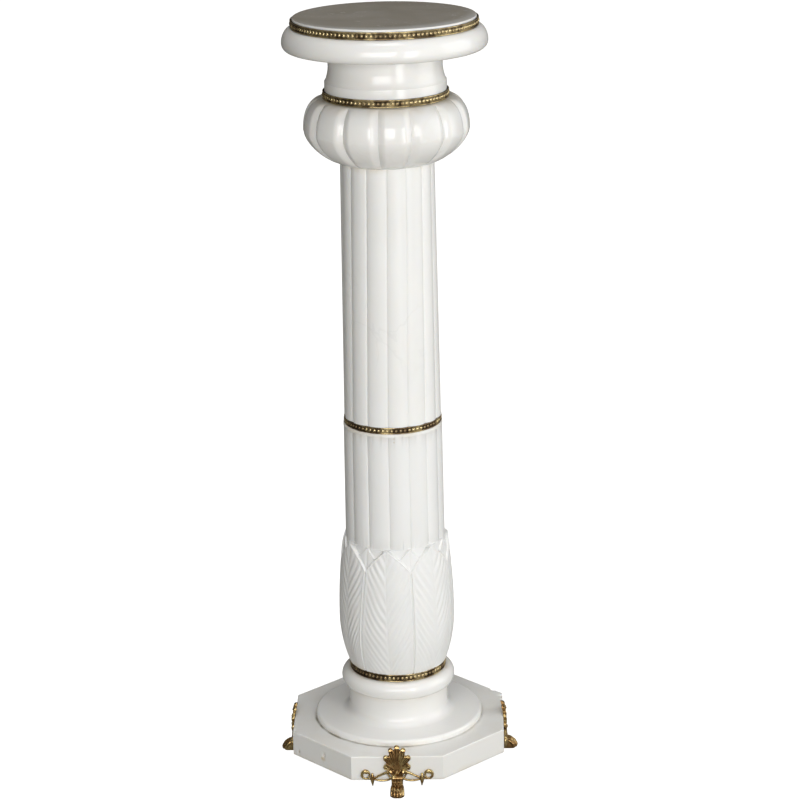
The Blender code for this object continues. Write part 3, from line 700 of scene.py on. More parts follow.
def makeLowerShaft():
    size = calyxSizes
    low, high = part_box("lower_shaft")
    total = high.z - low.z
    steps = np.linspace(0, 1, size["bodySteps"])
    body = size["seatHeight"] + (size["shoulderHeight"] - 0.0003 - size["seatHeight"]) * steps
    tips = size["shoulderHeight"] + (size["tipHeight"] - size["shoulderHeight"]) * np.linspace(0.02, 1, size["tipSteps"])
    heights = np.concatenate([body, tips])
    halves = [calyxRow(height) for height in heights]
    shares = np.array([wholeRing(half[0]) for half in halves])
    places = np.array([wholeRing(half[0], -1) for half in halves])
    radii = np.array([wholeRing(half[1]) for half in halves])
    edges = np.array([half[2] for half in halves])[:, None]
    perLeaf = places.shape[1] // size["leaves"]
    leaf = np.repeat(np.arange(size["leaves"]), perLeaf)
    bearings = (2 * leaf + places) * math.pi / size["leaves"]
    levels = np.broadcast_to(heights[:, None], bearings.shape)
    spots = np.stack([0.07 * np.cos(bearings), 0.07 * np.sin(bearings), levels], -1)
    wander = smoothNoise(spots, 0.05, 11, 2)
    radii = radii + leafRelief(shares, edges, levels, wander)
    rows = []
    plain = bearings[0]
    for height in (0, size["seatHeight"] - 0.0002):
        rows.append((driftedBearings(plain, size["footDrift"]), np.full_like(plain, size["seatRadius"]), low.z + height))
    for bearing, radius, height in zip(bearings, radii, heights):
        climb = ((height - size["seatHeight"]) / (size["shoulderHeight"] - size["seatHeight"])).clip(0, 1)
        drifted = (1 - climb) * driftedBearings(bearing, size["footDrift"]) \
            + climb * driftedBearings(bearing, size["tipDrift"])
        rows.append((drifted, radius, low.z + height))
    even = np.linspace(0, 1, len(halves[0][0]))
    even = np.where(even < 0.5, 0.5 * (2 * even) ** 1.5, 1 - 0.5 * (2 - 2 * even) ** 1.5)
    shaftBearings = (2 * leaf + wholeRing(even, -1)) * math.pi / size["leaves"]
    relief = wholeRing(fluteRelief(2 * even - 1))
    start, fluted = size["tipHeight"] + 0.0004, total - size["collarHeight"]
    for height in [*np.linspace(start, fluted, size["shaftSteps"]), fluted + 0.0002, total - 0.0004, total]:
        share = (height - start) / (total - start)
        radius = size["shaftFootRadius"] + (size["shaftTopRadius"] - size["shaftFootRadius"]) * share
        cut = relief if height <= fluted else 0 * relief + (0.0004 if height == total else 0)
        rows.append((driftedBearings(shaftBearings, carving["shaftDrift"]), radius - cut, low.z + height))
    mesh = meshFromGrid("lowerShaft", carvedGrid(rows))
    storeHollow(mesh, 2.5)
    return newPiece("lowerShaftCalyx", mesh, carvedMarble, ["lower_shaft"], 50)


makeCushion()
makeUpperShaft()
makeLowerShaft()
print("column: carved marble made")


# Plinth, with its worn and chipped arrises

plinthSizes = {
    "width": 0.2904, "cornerCut": 0.0866, "arris": 0.0012, "columnStep": 0.0014,
    # chips and pits: where, radius, depth
    "chips": [((-0.1004, -0.1049, 0.0375), 0.0034, 0.0028), ((-0.1362, -0.0691, 0.0265), 0.0030, 0.0014),
              ((-0.1430, -0.0610, 0.0534), 0.0045, 0.0012), ((-0.1350, -0.0720, 0.0534), 0.0035, 0.0008),
              ((0.1441, 0.0520, 0.0534), 0.0060, 0.0020), ((0.1441, 0.0380, 0.0534), 0.0045, 0.0012),
              ((0.1310, 0.0740, 0.0534), 0.0050, 0.0018), ((0.0612, -0.1441, 0.0200), 0.0030, 0.0010),
              ((-0.0300, 0.1441, 0.0534), 0.0050, 0.0014)],
}


def plinthOutline(step):
    # points round the octagon, evenly spaced
    size = plinthSizes
    half, cut = size["width"] / 2, size["cornerCut"]
    square = [(half, -half + cut), (half, half - cut), (half - cut, half), (-half + cut, half),
              (-half, half - cut), (-half, -half + cut), (-half + cut, -half), (half - cut, -half)]
    turn = Matrix.Rotation(math.pi / 4, 2)
    corners = [turn @ Vector(point) for point in square]
    points = []
    for start, end in zip(corners, corners[1:] + corners[:1]):
        count = max(2, round((end - start).length / step))
        points += [start.lerp(end, n / count) for n in range(count)]
    return np.array([tuple(point) for point in points])


def makePlinth():
    size = plinthSizes
    low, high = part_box("plinth")
    height, arris = high.z - low.z, size["arris"]
    outline = plinthOutline(size["columnStep"])
    reach = np.linalg.norm(outline, axis=1)
    # (inwards from the face, height above the underside)
    rows = [(0.10, 0), (0.03, 0), (0.008, 0), (0.003, 0), (arris, 0), (0.4 * arris, 0.25 * arris), (0, arris)]
    rows += [(0, z) for z in np.linspace(arris, height - 0.004, 12)[1:]]
    rows += [(0, height - 0.003), (0, height - 0.002), (0, height - arris), (0.12 * arris, height - 0.5 * arris),
             (0.5 * arris, height - 0.12 * arris), (arris, height), (0.002, height), (0.003, height),
             (0.0045, height), (0.007, height), (0.012, height), (0.02, height), (0.035, height), (0.10, height)]
    grid = []
    for away, z in rows:
        scale = (reach - away) / reach
        grid.append(np.column_stack([outline * scale[:, None], np.full(len(outline), z + low.z)]))
    grid = np.array(grid)
    rough = 1 + 0.5 * smoothNoise(grid, 0.004, 5)
    for spot, radius, depth in size["chips"]:
        away = np.linalg.norm(grid - np.array(spot), axis=-1)
        bite = (1 - (away / radius) ** 2).clip(0, 1) * rough
        inwards = -np.array(spot) * (1, 1, 0)
        inwards = inwards / np.linalg.norm(inwards) + (0, 0, -0.5 if spot[2] > high.z - 0.003 else 0)
        grid += bite[..., None] * depth * inwards
    grid[..., 2] = grid[..., 2].clip(low.z, high.z)
    mesh = meshFromGrid("plinth", grid)
    storeHollow(mesh, 1.5)
    return newPiece("plinthSlab", mesh, plinthMarble, ["plinth"])


makePlinth()
print("column: plinth made")


# Beaded gilt bands, by Geometry Nodes

bandSizes = {
    "top_bead_band": {"beads": 127, "thickness": 0.0029, "patina": 0.3},
    "capital_bead_band": {"beads": 83, "thickness": 0.0029, "patina": 0.0},
    "shaft_bead_band": {"beads": 68, "thickness": 0.0029, "patina": 1.0},
    "calyx_bead_band": {"beads": 69, "thickness": 0.0025, "patina": 0.9},
    "filletRadius": 0.0007, "beadShare": 0.86, "beadSegments": 10, "beadRings": 7,
}


def buildBandTree():
    # a strip bent round, a fillet along each edge, and beads between them
    tree = bpy.data.node_groups.new("beadedBand", "GeometryNodeTree")
    for label, kind, value in (("Outer Radius", "NodeSocketFloat", 0.07), ("Height", "NodeSocketFloat", 0.009),
                               ("Thickness", "NodeSocketFloat", 0.003), ("Middle Height", "NodeSocketFloat", 0.0),
                               ("Beads", "NodeSocketInt", 70), ("Bead Diameter", "NodeSocketFloat", 0.0045),
                               ("Fillet Radius", "NodeSocketFloat", 0.0008), ("Gilding", "NodeSocketMaterial", None)):
        socket = tree.interface.new_socket(label, in_out="INPUT", socket_type=kind)
        if value is not None:
            socket.default_value = value
    tree.interface.new_socket("Geometry", in_out="OUTPUT", socket_type="NodeSocketGeometry")
    take = tree.nodes.new("NodeGroupInput").outputs
    result = tree.nodes.new("NodeGroupOutput")

    def calc(operation, first, second=0.0):
        return addNode(tree, "ShaderNodeMath", {0: first, 1: second}, operation=operation).outputs[0]

    def ringOf(radius, profile, height):
        circle = addNode(tree, "GeometryNodeCurvePrimitiveCircle", {"Resolution": 160, "Radius": radius})
        solid = addNode(tree, "GeometryNodeCurveToMesh", {"Curve": circle.outputs["Curve"], "Profile Curve": profile})
        spot = addNode(tree, "ShaderNodeCombineXYZ", {"Z": height})
        return addNode(tree, "GeometryNodeTransform", {"Geometry": solid.outputs[0], "Translation": spot.outputs[0]}).outputs[0]

    backing = calc("MULTIPLY", take["Thickness"], 0.45)
    strip = addNode(tree, "GeometryNodeCurvePrimitiveQuadrilateral", {"Width": backing, "Height": take["Height"]})
    inner = calc("SUBTRACT", take["Outer Radius"], take["Thickness"])
    stripRadius = calc("ADD", inner, calc("MULTIPLY", backing, 0.5))
    parts = [ringOf(stripRadius, strip.outputs[0], 0.0)]
    wire = addNode(tree, "GeometryNodeCurvePrimitiveCircle", {"Resolution": 8, "Radius": take["Fillet Radius"]})
    edge = calc("SUBTRACT", calc("MULTIPLY", take["Height"], 0.5), take["Fillet Radius"])
    filletRadius = calc("ADD", inner, calc("MULTIPLY", take["Thickness"], 0.55))
    parts.append(ringOf(filletRadius, wire.outputs[0], edge))
    parts.append(ringOf(filletRadius, wire.outputs[0], calc("MULTIPLY", edge, -1.0)))
    beadRadius = calc("MULTIPLY", take["Bead Diameter"], 0.5)
    circle = addNode(tree, "GeometryNodeMeshCircle", {"Vertices": take["Beads"],
                                                      "Radius": calc("SUBTRACT", take["Outer Radius"], beadRadius)})
    bead = addNode(tree, "GeometryNodeMeshUVSphere", {"Segments": bandSizes["beadSegments"],
                                                      "Rings": bandSizes["beadRings"], "Radius": beadRadius})
    outwards = addNode(tree, "FunctionNodeAlignRotationToVector", {"Vector": addNode(tree, "GeometryNodeInputPosition").outputs[0]},
                       axis="X")
    beads = addNode(tree, "GeometryNodeInstanceOnPoints", {"Points": circle.outputs[0], "Instance": bead.outputs[0],
                                                           "Rotation": outwards.outputs[0]})
    joined = addNode(tree, "GeometryNodeJoinGeometry")
    for part in parts + [beads.outputs[0]]:
        tree.links.new(part, joined.inputs[0])
    spot = addNode(tree, "ShaderNodeCombineXYZ", {"Z": take["Middle Height"]})
    placed = addNode(tree, "GeometryNodeTransform", {"Geometry": joined.outputs[0], "Translation": spot.outputs[0]})
    real = addNode(tree, "GeometryNodeRealizeInstances", {"Geometry": placed.outputs[0]})
    gilded = addNode(tree, "GeometryNodeSetMaterial", {"Geometry": real.outputs[0], "Material": take["Gilding"]})
    tree.links.new(gilded.outputs[0], result.inputs[0])
    return tree


def makeBand(node, pieceName, tree):
    size = bandSizes[node]
    low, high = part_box(node)
    outer, height = nodeRadius(node), high.z - low.z
    carrier = bpy.data.objects.new(pieceName, bpy.data.meshes.new(pieceName))
    scene.collection.objects.link(carrier)
    modifier = carrier.modifiers.new("beads", "NODES")
    modifier.node_group = tree
    values = {"Outer Radius": outer, "Height": height, "Thickness": size["thickness"],
              "Middle Height": (low.z + high.z) / 2, "Beads": size["beads"],
              "Bead Diameter": bandSizes["beadShare"] * 2 * math.pi * outer / size["beads"],
              "Fillet Radius": bandSizes["filletRadius"], "Gilding": beadedGilt}
    for item in tree.interface.items_tree:
        if item.in_out == "INPUT":
            modifier[item.identifier] = values[item.name]
    bpy.context.view_layer.update()
    mesh = bpy.data.meshes.new_from_object(carrier.evaluated_get(bpy.context.evaluated_depsgraph_get()))
    bpy.data.objects.remove(carrier)
    bm = bmesh.new()
    bm.from_mesh(mesh)
    bmesh.ops.recalc_face_normals(bm, faces=bm.faces)
    bm.to_mesh(mesh)
    bm.free()
    points = np.array([vert.co for vert in mesh.vertices])
    depth = (outer - np.linalg.norm(points[:, :2], axis=1)) / size["thickness"]
    hollow = mesh.attributes.new("hollow", "FLOAT", "POINT")
    hollow.data.foreach_set("value", (0.1 + 1.1 * depth).clip(0, 1).astype(np.float32))
    patina = mesh.attributes.new("patina", "FLOAT", "POINT")
    patina.data.foreach_set("value", (size["patina"] * (3 * depth).clip(0, 1)).astype(np.float32))
    return newPiece(pieceName, mesh, beadedGilt, [node], 50)


bandTree = buildBandTree()
for node, pieceName in (("top_bead_band", "topBeads"), ("capital_bead_band", "capitalBeads"),
                        ("shaft_bead_band", "shaftBeads"), ("calyx_bead_band", "calyxBeads")):
    makeBand(node, pieceName, bandTree)
print("column: beaded bands made")


# Feet, each one casting of claw, shell and scrolled arms, in a frame with x across, y out from the plinth and z up

footSizes = {
    "faceGap": 0.0003, "plinthUnderside": 0.0190, "plinthTop": 0.0534, "lean": 14.0, "voxel": 0.0005,
    "eyeHeight": 0.0330,
    # lobes of the shell: degrees from upright, reach of the round end's middle from the eye, its radius
    "lobes": [(0, 0.0322, 0.0038), (16, 0.0300, 0.0035), (37.5, 0.0243, 0.0036), (67, 0.0158, 0.0038),
              (101, 0.0086, 0.0026)],
    "shellBase": 0.0012, "dish": 0.0024, "channel": 0.0008, "shellRim": 0.0011, "lobeBead": 0.0014,
    "ribs": 60, "ribDepth": 0.00030,
    "legHalfWidth": 0.0082, "legDepth": 0.0050, "pawHalfWidth": 0.0090, "pawReach": 0.0200,
    # toes: across, share of the paw's reach
    "toes": [(0.0, 1.0), (0.0040, 0.98), (0.0074, 0.84)], "toeRadius": 0.0022,
    "hairPitch": 0.0021, "hairDepth": 0.00035, "heelBack": 0.0119,
    # scroll: middle of its eye, half width and half height of the strand's middle line
    "scrollMiddle": (0.0423, 0.0279), "scrollReach": (0.0050, 0.0054), "dropX": 0.0332, "dropTip": 0.0116,
}


def smoothPath(points, steps=6):
    # Catmull-Rom through the points
    points = np.array(points, float)
    ends = np.vstack([2 * points[0] - points[1], points, 2 * points[-1] - points[-2]])
    path = []
    for a, b, c, d in zip(ends, ends[1:], ends[2:], ends[3:]):
        for t in np.linspace(0, 1, steps, endpoint=False):
            path.append(0.5 * (2 * b + (c - a) * t + (2 * a - 5 * b + 4 * c - d) * t ** 2
                               + (3 * b - a - 3 * c + d) * t ** 3))
    return np.array(path + [points[-1]])


def closeRings(bm, rings):
    for low, high in zip(rings, rings[1:]):
        for i in range(len(low)):
            j = (i + 1) % len(low)
            bm.faces.new((low[i], low[j], high[j], high[i]))
    bm.faces.new(rings[0][::-1])
    bm.faces.new(rings[-1])


def addStrand(bm, points, sides=12):
    # points: (x, y, z, radius); a round strand with domed ends
    path = smoothPath(points)
    centers, radii = path[:, :3], path[:, 3].clip(0.0002)
    tangents = np.gradient(centers, axis=0)
    tangents /= np.linalg.norm(tangents, axis=1)[:, None]
    aside = np.cross(tangents, (0.05, 1.0, 0.02))
    aside /= np.linalg.norm(aside, axis=1)[:, None]
    over = np.cross(tangents, aside)
    angles = np.linspace(0, 2 * math.pi, sides, endpoint=False)
    stations = [(0, -0.9, 0.4), (0, -0.55, 0.82)] + [(n, 0, 1) for n in range(len(path))]
    stations += [(len(path) - 1, 0.55, 0.82), (len(path) - 1, 0.9, 0.4)]
    rings = []
    for n, shift, share in stations:
        middle = centers[n] + tangents[n] * shift * radii[n]
        rings.append([bm.verts.new(middle + radii[n] * share * (math.cos(a) * aside[n] + math.sin(a) * over[n]))
                      for a in angles])
    closeRings(bm, rings)


def addBall(bm, center, radii):
    place = Matrix.Translation(center) @ Matrix.Diagonal((*radii, 1))
    bmesh.ops.create_uvsphere(bm, u_segments=20, v_segments=12, radius=1, matrix=place)


def addSections(bm, sections):
    # sections: (height, half width, back, front, squareness) from the bottom up, each a rounded rectangle
    rings = []
    for z, half, back, front, power in sections:
        middle, deep = (front + back) / 2, (front - back) / 2
        turns = [(math.cos(a), math.sin(a)) for a in np.linspace(0, 2 * math.pi, 28, endpoint=False)]
        rings.append([bm.verts.new((half * math.copysign(abs(c) ** power, c),
                                    middle + deep * math.copysign(abs(s) ** power, s), z)) for c, s in turns])
    closeRings(bm, rings)


def bothSides(lobes):
    return [(-angle, reach, radius) for angle, reach, radius in lobes[:0:-1]] + lobes


def shellOutline(angles):
    # reach of the scalloped edge in each direction: the lobes' round ends over a plain fan
    lobes = np.array(bothSides(footSizes["lobes"]))
    edge = 0.93 * np.interp(angles, np.radians(lobes[:, 0]), lobes[:, 1])
    for middle, reach, radius in lobes:
        off = angles - math.radians(middle)
        inside = radius ** 2 - (reach * np.sin(off)) ** 2
        hit = np.where((inside > 0) & (np.cos(off) > 0), reach * np.cos(off) + np.sqrt(inside.clip(0)), 0)
        edge = np.maximum(edge, hit)
    return edge


def addShell(bm):
    # a dished fan: a channel to each lobe, and a rolled rim
    size = footSizes
    middles = np.radians([lobe[0] for lobe in bothSides(size["lobes"])])
    fan = np.linspace(middles[0] - 0.12, middles[-1] + 0.12, 181)
    edge = shellOutline(fan)
    between = np.interp(fan, middles, np.arange(len(middles)))
    ridge = np.abs(2 * (between - np.round(between)))
    back, front = [], []
    for share in (0.03, 0.15, 0.3, 0.45, 0.6, 0.7, 0.78, 0.84, 0.88, 0.92, 0.96, 0.985, 1.0):
        rise = size["shellBase"] + size["dish"] * share ** 1.6 + size["channel"] * share * ridge ** 2
        rise += size["shellRim"] * math.exp(-((share - 0.93) / 0.05) ** 2) - (0.0012 if share == 1.0 else 0)
        x, z = edge * share * np.sin(fan), size["eyeHeight"] + edge * share * np.cos(fan)
        front.append([bm.verts.new(point) for point in zip(x, size["faceGap"] + rise, z)])
        back.append([bm.verts.new(point) for point in zip(x, np.full_like(x, size["faceGap"]), z)])
    for rows, turned in ((back, True), (front, False)):
        for low, high in zip(rows, rows[1:]):
            for i in range(len(low) - 1):
                quad = (low[i], low[i + 1], high[i + 1], high[i])
                bm.faces.new(quad if turned else quad[::-1])
    rim, facing = ([*rows[-1], *[row[-1] for row in rows[-2::-1]], *rows[0][-2::-1], *[row[0] for row in rows[1:-1]]]
                   for rows in (back, front))
    for i in range(len(rim)):
        j = (i + 1) % len(rim)
        bm.faces.new((rim[i], facing[i], facing[j], rim[j]))
    for angle, reach, radius in bothSides(size["lobes"]):
        turn = math.radians(angle)
        place = (reach * math.sin(turn), size["shellBase"] + size["dish"], size["eyeHeight"] + reach * math.cos(turn))
        addBall(bm, place, (size["lobeBead"],) * 3)


def addRosette(bm):
    eye = footSizes["eyeHeight"]
    addBall(bm, (0, 0.0026, eye - 0.0022), (0.0042, 0.0026, 0.0036))
    for side in (-1, 1):
        addBall(bm, (side * 0.0015, 0.0054, eye - 0.0020), (0.0013, 0.0012, 0.0016))
        addBall(bm, (side * 0.0080, 0.0034, eye - 0.0012), (0.0025, 0.0022, 0.0026))
        addStrand(bm, [(side * 0.0078, 0.0030, eye - 0.0030, 0.0016), (side * 0.0060, 0.0034, eye - 0.0066, 0.0012),
                       (side * 0.0030, 0.0034, eye - 0.0080, 0.0009)])


def addClaw(bm):
    size = footSizes
    half, deep, wide = size["legHalfWidth"], size["legDepth"], size["pawHalfWidth"]
    gap, reach = size["faceGap"], size["pawReach"]
    addSections(bm, [(0.0090, half * 1.00, gap, deep * 2.2, 0.7), (0.0125, half * 0.96, gap, deep * 1.5, 0.7),
                     (0.0170, half * 0.94, gap, deep, 0.7), (0.0215, half * 0.98, gap, deep * 1.02, 0.7),
                     (0.0236, half * 1.08, gap, deep * 1.16, 0.7), (0.0248, half * 1.02, gap, deep * 1.02, 0.7),
                     (0.0262, half * 0.74, gap, deep * 0.66, 0.7), (0.0330, half * 0.60, gap, deep * 0.46, 0.7)])
    addSections(bm, [(0.0, wide * 0.88, gap, reach * 0.84, 0.6), (0.0030, wide * 0.94, gap, reach * 0.86, 0.6),
                     (0.0066, wide * 0.94, gap, reach * 0.76, 0.6), (0.0105, wide * 0.90, gap, reach * 0.56, 0.65),
                     (0.0140, wide * 0.86, gap, reach * 0.38, 0.7)])
    radius = size["toeRadius"]
    for across, share in size["toes"]:
        for side in ((1,) if across == 0 else (1, -1)):
            x, far = side * across, reach * share
            addStrand(bm, [(x * 0.92, far * 0.34, 0.0126, radius * 0.8), (x * 0.97, far * 0.58, 0.0106, radius * 0.95),
                           (x, far * 0.80, 0.0070, radius), (x * 1.02, far - radius * 1.05, 0.0030, radius * 0.98)])
            addBall(bm, (x * 1.02, far - 0.0010, 0.0040), (0.0012, 0.0012, 0.0017))
    inside = size["plinthUnderside"] - size["faceGap"]
    addSections(bm, [(z, half * 0.88, -size["heelBack"], 0.0060, 0.3) for z in (0.0, inside)])


def addArm(bm, side):
    size = footSizes
    (cx, cz), (reachX, reachZ), dropX = size["scrollMiddle"], size["scrollReach"], size["dropX"]
    ring = []
    for angle, thick in ((-160, 0.0012), (-120, 0.0013), (-75, 0.0014), (-20, 0.0017), (30, 0.0021), (75, 0.0026),
                         (115, 0.0025), (150, 0.0019), (180, 0.0013)):
        a = math.radians(angle)
        ring.append((side * (cx + reachX * math.cos(a)), 0.0024, cz + reachZ * math.sin(a), thick))
    strands = [
        ring,
        [(side * x, y, z, r) for x, y, z, r in (
            (0.0080, 0.0028, 0.0340, 0.0020), (0.0145, 0.0028, 0.0316, 0.0018), (0.0210, 0.0026, 0.0284, 0.0016),
            (0.0270, 0.0024, 0.0254, 0.0015), (0.0320, 0.0024, 0.0230, 0.0014), (0.0370, 0.0022, 0.0222, 0.0013),
            (0.0412, 0.0022, 0.0224, 0.0011))],
        [(side * x, y, z, r) for x, y, z, r in (
            (0.0070, 0.0026, 0.0236, 0.0016), (0.0120, 0.0026, 0.0208, 0.0015), (0.0180, 0.0024, 0.0196, 0.0014),
            (0.0240, 0.0024, 0.0198, 0.0014), (0.0290, 0.0026, 0.0210, 0.0013), (0.0330, 0.0026, 0.0224, 0.0012))],
        [(side * x, y, z, r) for x, y, z, r in (
            (0.0135, 0.0022, 0.0308, 0.0011), (0.0112, 0.0024, 0.0270, 0.0012), (0.0085, 0.0026, 0.0230, 0.0012))],
        [(side * dropX, 0.0030, 0.0295, 0.0016), (side * dropX, 0.0032, 0.0245, 0.0027),
         (side * dropX, 0.0030, 0.0195, 0.0024), (side * (dropX - 0.0002), 0.0026, 0.0152, 0.0014),
         (side * (dropX - 0.0003), 0.0022, size["dropTip"] + 0.0008, 0.0008)],
    ]
    for strand in strands:
        addStrand(bm, strand)
    addBall(bm, (side * (cx - 0.0004), 0.0036, cz + reachZ * 0.72), (0.0020, 0.0017, 0.0018))
    addBall(bm, (side * dropX, 0.0048, 0.0262), (0.0016, 0.0014, 0.0019))


def meshArrays(mesh):
    count = len(mesh.vertices)
    points = np.empty(count * 3)
    normals = np.empty(count * 3)
    edges = np.empty(len(mesh.edges) * 2, np.int64)
    mesh.vertices.foreach_get("co", points)
    mesh.vertices.foreach_get("normal", normals)
    mesh.edges.foreach_get("vertices", edges)
    return points.reshape(-1, 3), normals.reshape(-1, 3), edges.reshape(-1, 2).T


def evenOut(mesh, passes=3):
    # smooths the voxels' steps without shrinking
    points, normals, (a, b) = meshArrays(mesh)
    degree = np.bincount(np.concatenate([a, b]), minlength=len(points)).clip(1)
    for share in (0.5, -0.52) * passes:
        middle = np.column_stack([np.bincount(a, points[b, axis], len(points)) + np.bincount(b, points[a, axis], len(points))
                                  for axis in range(3)]) / degree[:, None]
        points += share * (middle - points)
    mesh.vertices.foreach_set("co", points.ravel())
    mesh.update()


def carveFoot(mesh):
    # the shell's ribs and the leg's hair, then the lean of what stands above the plinth
    size = footSizes
    points, normals, edges = meshArrays(mesh)
    x, y, z = points.T
    rise = z - size["eyeHeight"]
    reach = np.hypot(x, rise)
    onShell = ((reach - 0.006) / 0.004).clip(0, 1) * (rise > -0.004) * (np.abs(x) < 0.0190)
    onShell = onShell * ((shellOutline(np.arctan2(x, rise)) * 0.86 - reach) / 0.002).clip(0, 1)
    ribs = np.cos(np.arctan2(x, rise) * size["ribs"]) * size["ribDepth"] * onShell * normals[:, 1].clip(0, 1)
    onLeg = (np.abs(x) < size["legHalfWidth"] * 1.02) * ((0.0228 - z) / 0.002).clip(0, 1) * ((z - 0.006) / 0.004).clip(0, 1)
    wave = x + 0.0004 * np.sin(z * 900)
    lit = (normals[:, 1] + normals[:, 2]).clip(0, 1)
    hair = np.cos(2 * math.pi * wave / size["hairPitch"]) * size["hairDepth"] * onLeg * lit * (y > size["faceGap"] + 0.0005)
    points += normals * (ribs + hair)[:, None]
    aboveFloor = points[:, 2] < size["plinthUnderside"] - size["faceGap"] + 0.0001
    points[:, 1] = np.where(aboveFloor, points[:, 1], points[:, 1].clip(size["faceGap"]))
    points[:, 1] -= (points[:, 2] - size["plinthTop"]).clip(0) * math.tan(math.radians(size["lean"]))
    points[:, 2] = points[:, 2].clip(0)
    mesh.vertices.foreach_set("co", points.ravel())
    mesh.update()


def castFoot():
    bm = bmesh.new()
    addShell(bm)
    addRosette(bm)
    addClaw(bm)
    addArm(bm, 1)
    addArm(bm, -1)
    bmesh.ops.recalc_face_normals(bm, faces=bm.faces)
    mesh = bpy.data.meshes.new("footPattern")
    bm.to_mesh(mesh)
    bm.free()
    pattern = bpy.data.objects.new("footPattern", mesh)
    scene.collection.objects.link(pattern)
    remesh = pattern.modifiers.new("cast", "REMESH")
    remesh.mode = "VOXEL"
    remesh.voxel_size = footSizes["voxel"]
    bpy.context.view_layer.update()
    casting = bpy.data.meshes.new_from_object(pattern.evaluated_get(bpy.context.evaluated_depsgraph_get()))
    bpy.data.objects.remove(pattern)
    evenOut(casting)
    carveFoot(casting)
    storeHollow(casting, 3.0, 3)
    points = meshArrays(casting)[0]
    # red-brown lacquer left on the shell's middle and right, and on the leg
    patina = ((points[:, 0] + 0.009) / 0.008).clip(0, 1) * ((0.0150 - np.abs(points[:, 0] - 0.002)) / 0.004).clip(0, 1)
    casting.attributes.new("patina", "FLOAT", "POINT").data.foreach_set("value", patina.astype(np.float32))
    return casting


def placeFeet(casting):
    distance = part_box("plinth")[1].x
    for node, pieceName, bearing in (("foot_front", "frontFoot", -90), ("foot_right", "rightFoot", 0),
                                     ("foot_back", "backFoot", 90), ("foot_left", "leftFoot", 180)):
        turn = math.radians(bearing)
        place = Matrix.Translation((distance * math.cos(turn), distance * math.sin(turn), 0))
        mesh = casting.copy()
        mesh.transform(place @ Matrix.Rotation(turn - math.pi / 2, 4, "Z"))
        newPiece(pieceName, mesh, castGilt, [node], 70)


placeFeet(castFoot())
print("column: feet made")


# Floor, light and camera

studio = {
    "floorColor": (0.36, 0.35, 0.32), "floorGlow": 1.0, "floorSize": 40.0,
    # softboxes: degrees to the right of the front, degrees up, distance, width, height, watts
    "front": (-5.0, 14.0, 3.4, 2.2, 1.4, 55.0), "key": (30.0, 9.0, 2.4, 0.6, 1.5, 15.0),
    "side": (90.0, 15.0, 3.5, 2.5, 3.0, 44.0), "above": (0.0, 78.0, 4.0, 1.6, 1.6, 34.0),
    "roomDark": (0.070, 0.064, 0.050), "roomBright": (0.34, 0.34, 0.34), "roomAbove": 0.8,
}


def makeFloor():
    mesh = bpy.data.meshes.new("studioFloor")
    half = studio["floorSize"] / 2
    mesh.from_pydata([(-half, -half, 0), (half, -half, 0), (half, half, 0), (-half, half, 0)], [], [(0, 1, 2, 3)])
    material = bpy.data.materials.new("studioFloorPaint")
    material.use_nodes = True
    tree = material.node_tree
    shader = tree.nodes["Principled BSDF"]
    shader.inputs["Base Color"].default_value = (*studio["floorColor"], 1)
    shader.inputs["Roughness"].default_value = 0.9
    shader.inputs["Specular IOR Level"].default_value = 0.1
    shader.inputs["Emission Color"].default_value = (1, 1, 1, 1)
    seen = addNode(tree, "ShaderNodeLightPath").outputs["Is Camera Ray"]
    tree.links.new(mathNode(tree, "MULTIPLY", seen, studio["floorGlow"]), shader.inputs["Emission Strength"])
    mesh.materials.append(material)
    floor = bpy.data.objects.new("studioFloor", mesh)
    scene.collection.objects.link(floor)


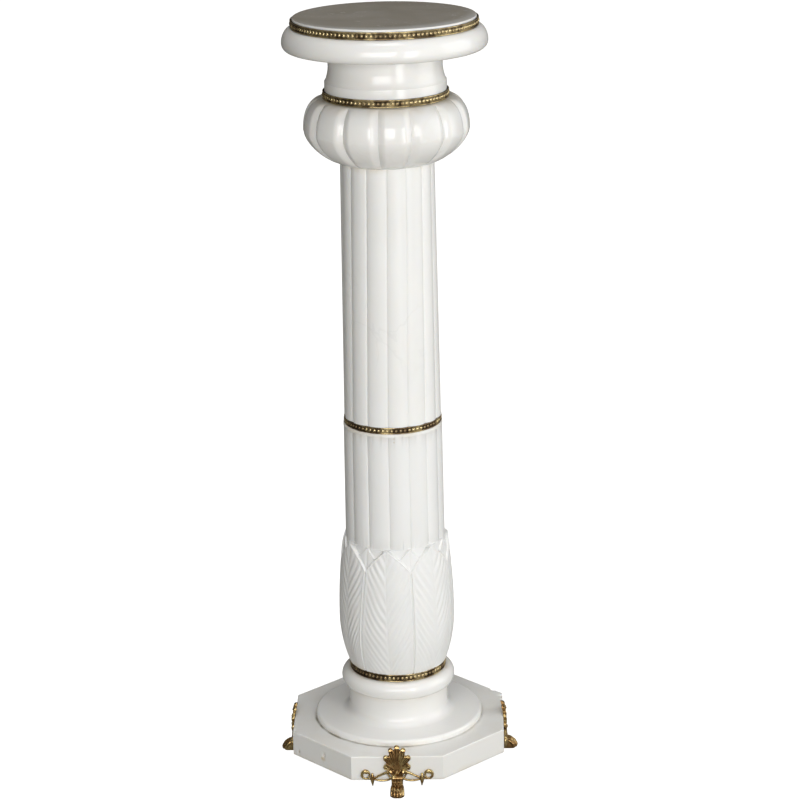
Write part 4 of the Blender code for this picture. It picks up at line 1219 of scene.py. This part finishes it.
def makeSoftbox(name):
    azimuth, elevation, distance, width, height, power = studio[name]
    light = bpy.data.lights.new(name + "Softbox", "AREA")
    light.shape = "RECTANGLE"
    light.size, light.size_y = width, height
    light.energy = power
    lamp = bpy.data.objects.new(light.name, light)
    scene.collection.objects.link(lamp)
    a, e = math.radians(azimuth), math.radians(elevation)
    offset = Vector((math.sin(a) * math.cos(e), -math.cos(a) * math.cos(e), math.sin(e)))
    lamp.location = Vector((0, 0, 0.5)) + distance * offset
    lamp.rotation_euler = offset.to_track_quat("Z", "Y").to_euler()


def makeRoom():
    # dim on the left, brighter overhead and to the right
    world = bpy.data.worlds.new("studioRoom")
    scene.world = world
    world.use_nodes = True
    tree = world.node_tree
    direction = addNode(tree, "ShaderNodeTexCoord").outputs["Generated"]
    parts = addNode(tree, "ShaderNodeSeparateXYZ", {0: direction})
    right = rangeNode(tree, parts.outputs[0], -0.2, 0.9)
    above = rangeNode(tree, parts.outputs[2], 0.3, 0.8, 0.0, studio["roomAbove"])
    share = mathNode(tree, "MAXIMUM", right, above)
    color = mixColors(tree, share, (*studio["roomDark"], 1), (*studio["roomBright"], 1))
    tree.links.new(color, tree.nodes["Background"].inputs["Color"])


view = {"place": (0.1003, -3.2685, 1.531), "yaw": 1.58, "pitch": 17.388, "roll": -1.189,
        "focalPixels": 2565.3, "frameWidth": 800, "sensor": 36.0}


def makeCamera():
    yaw, pitch, roll = (math.radians(view[key]) for key in ("yaw", "pitch", "roll"))
    heading = Vector((-math.sin(yaw), math.cos(yaw), 0))
    right = Vector((math.cos(yaw), math.sin(yaw), 0))
    forward = math.cos(pitch) * heading - Vector((0, 0, math.sin(pitch)))
    upward = math.sin(pitch) * heading + Vector((0, 0, math.cos(pitch)))
    rolledRight = math.cos(roll) * right + math.sin(roll) * upward
    rolledUp = math.cos(roll) * upward - math.sin(roll) * right
    camera = bpy.data.cameras.new("studioCamera")
    camera.sensor_width = view["sensor"]
    camera.lens = view["focalPixels"] / view["frameWidth"] * view["sensor"]
    camera.clip_end = 100
    seat = bpy.data.objects.new("studioCamera", camera)
    scene.collection.objects.link(seat)
    matrix = Matrix((rolledRight, rolledUp, -forward)).transposed().to_4x4()
    matrix.translation = Vector(view["place"])
    seat.matrix_world = matrix
    scene.camera = seat


makeFloor()
for name in ("front", "key", "side", "above"):
    makeSoftbox(name)
makeRoom()
makeCamera()
scene.view_settings.view_transform = "Standard"
scene.view_settings.look = "None"
print("column: studio made")
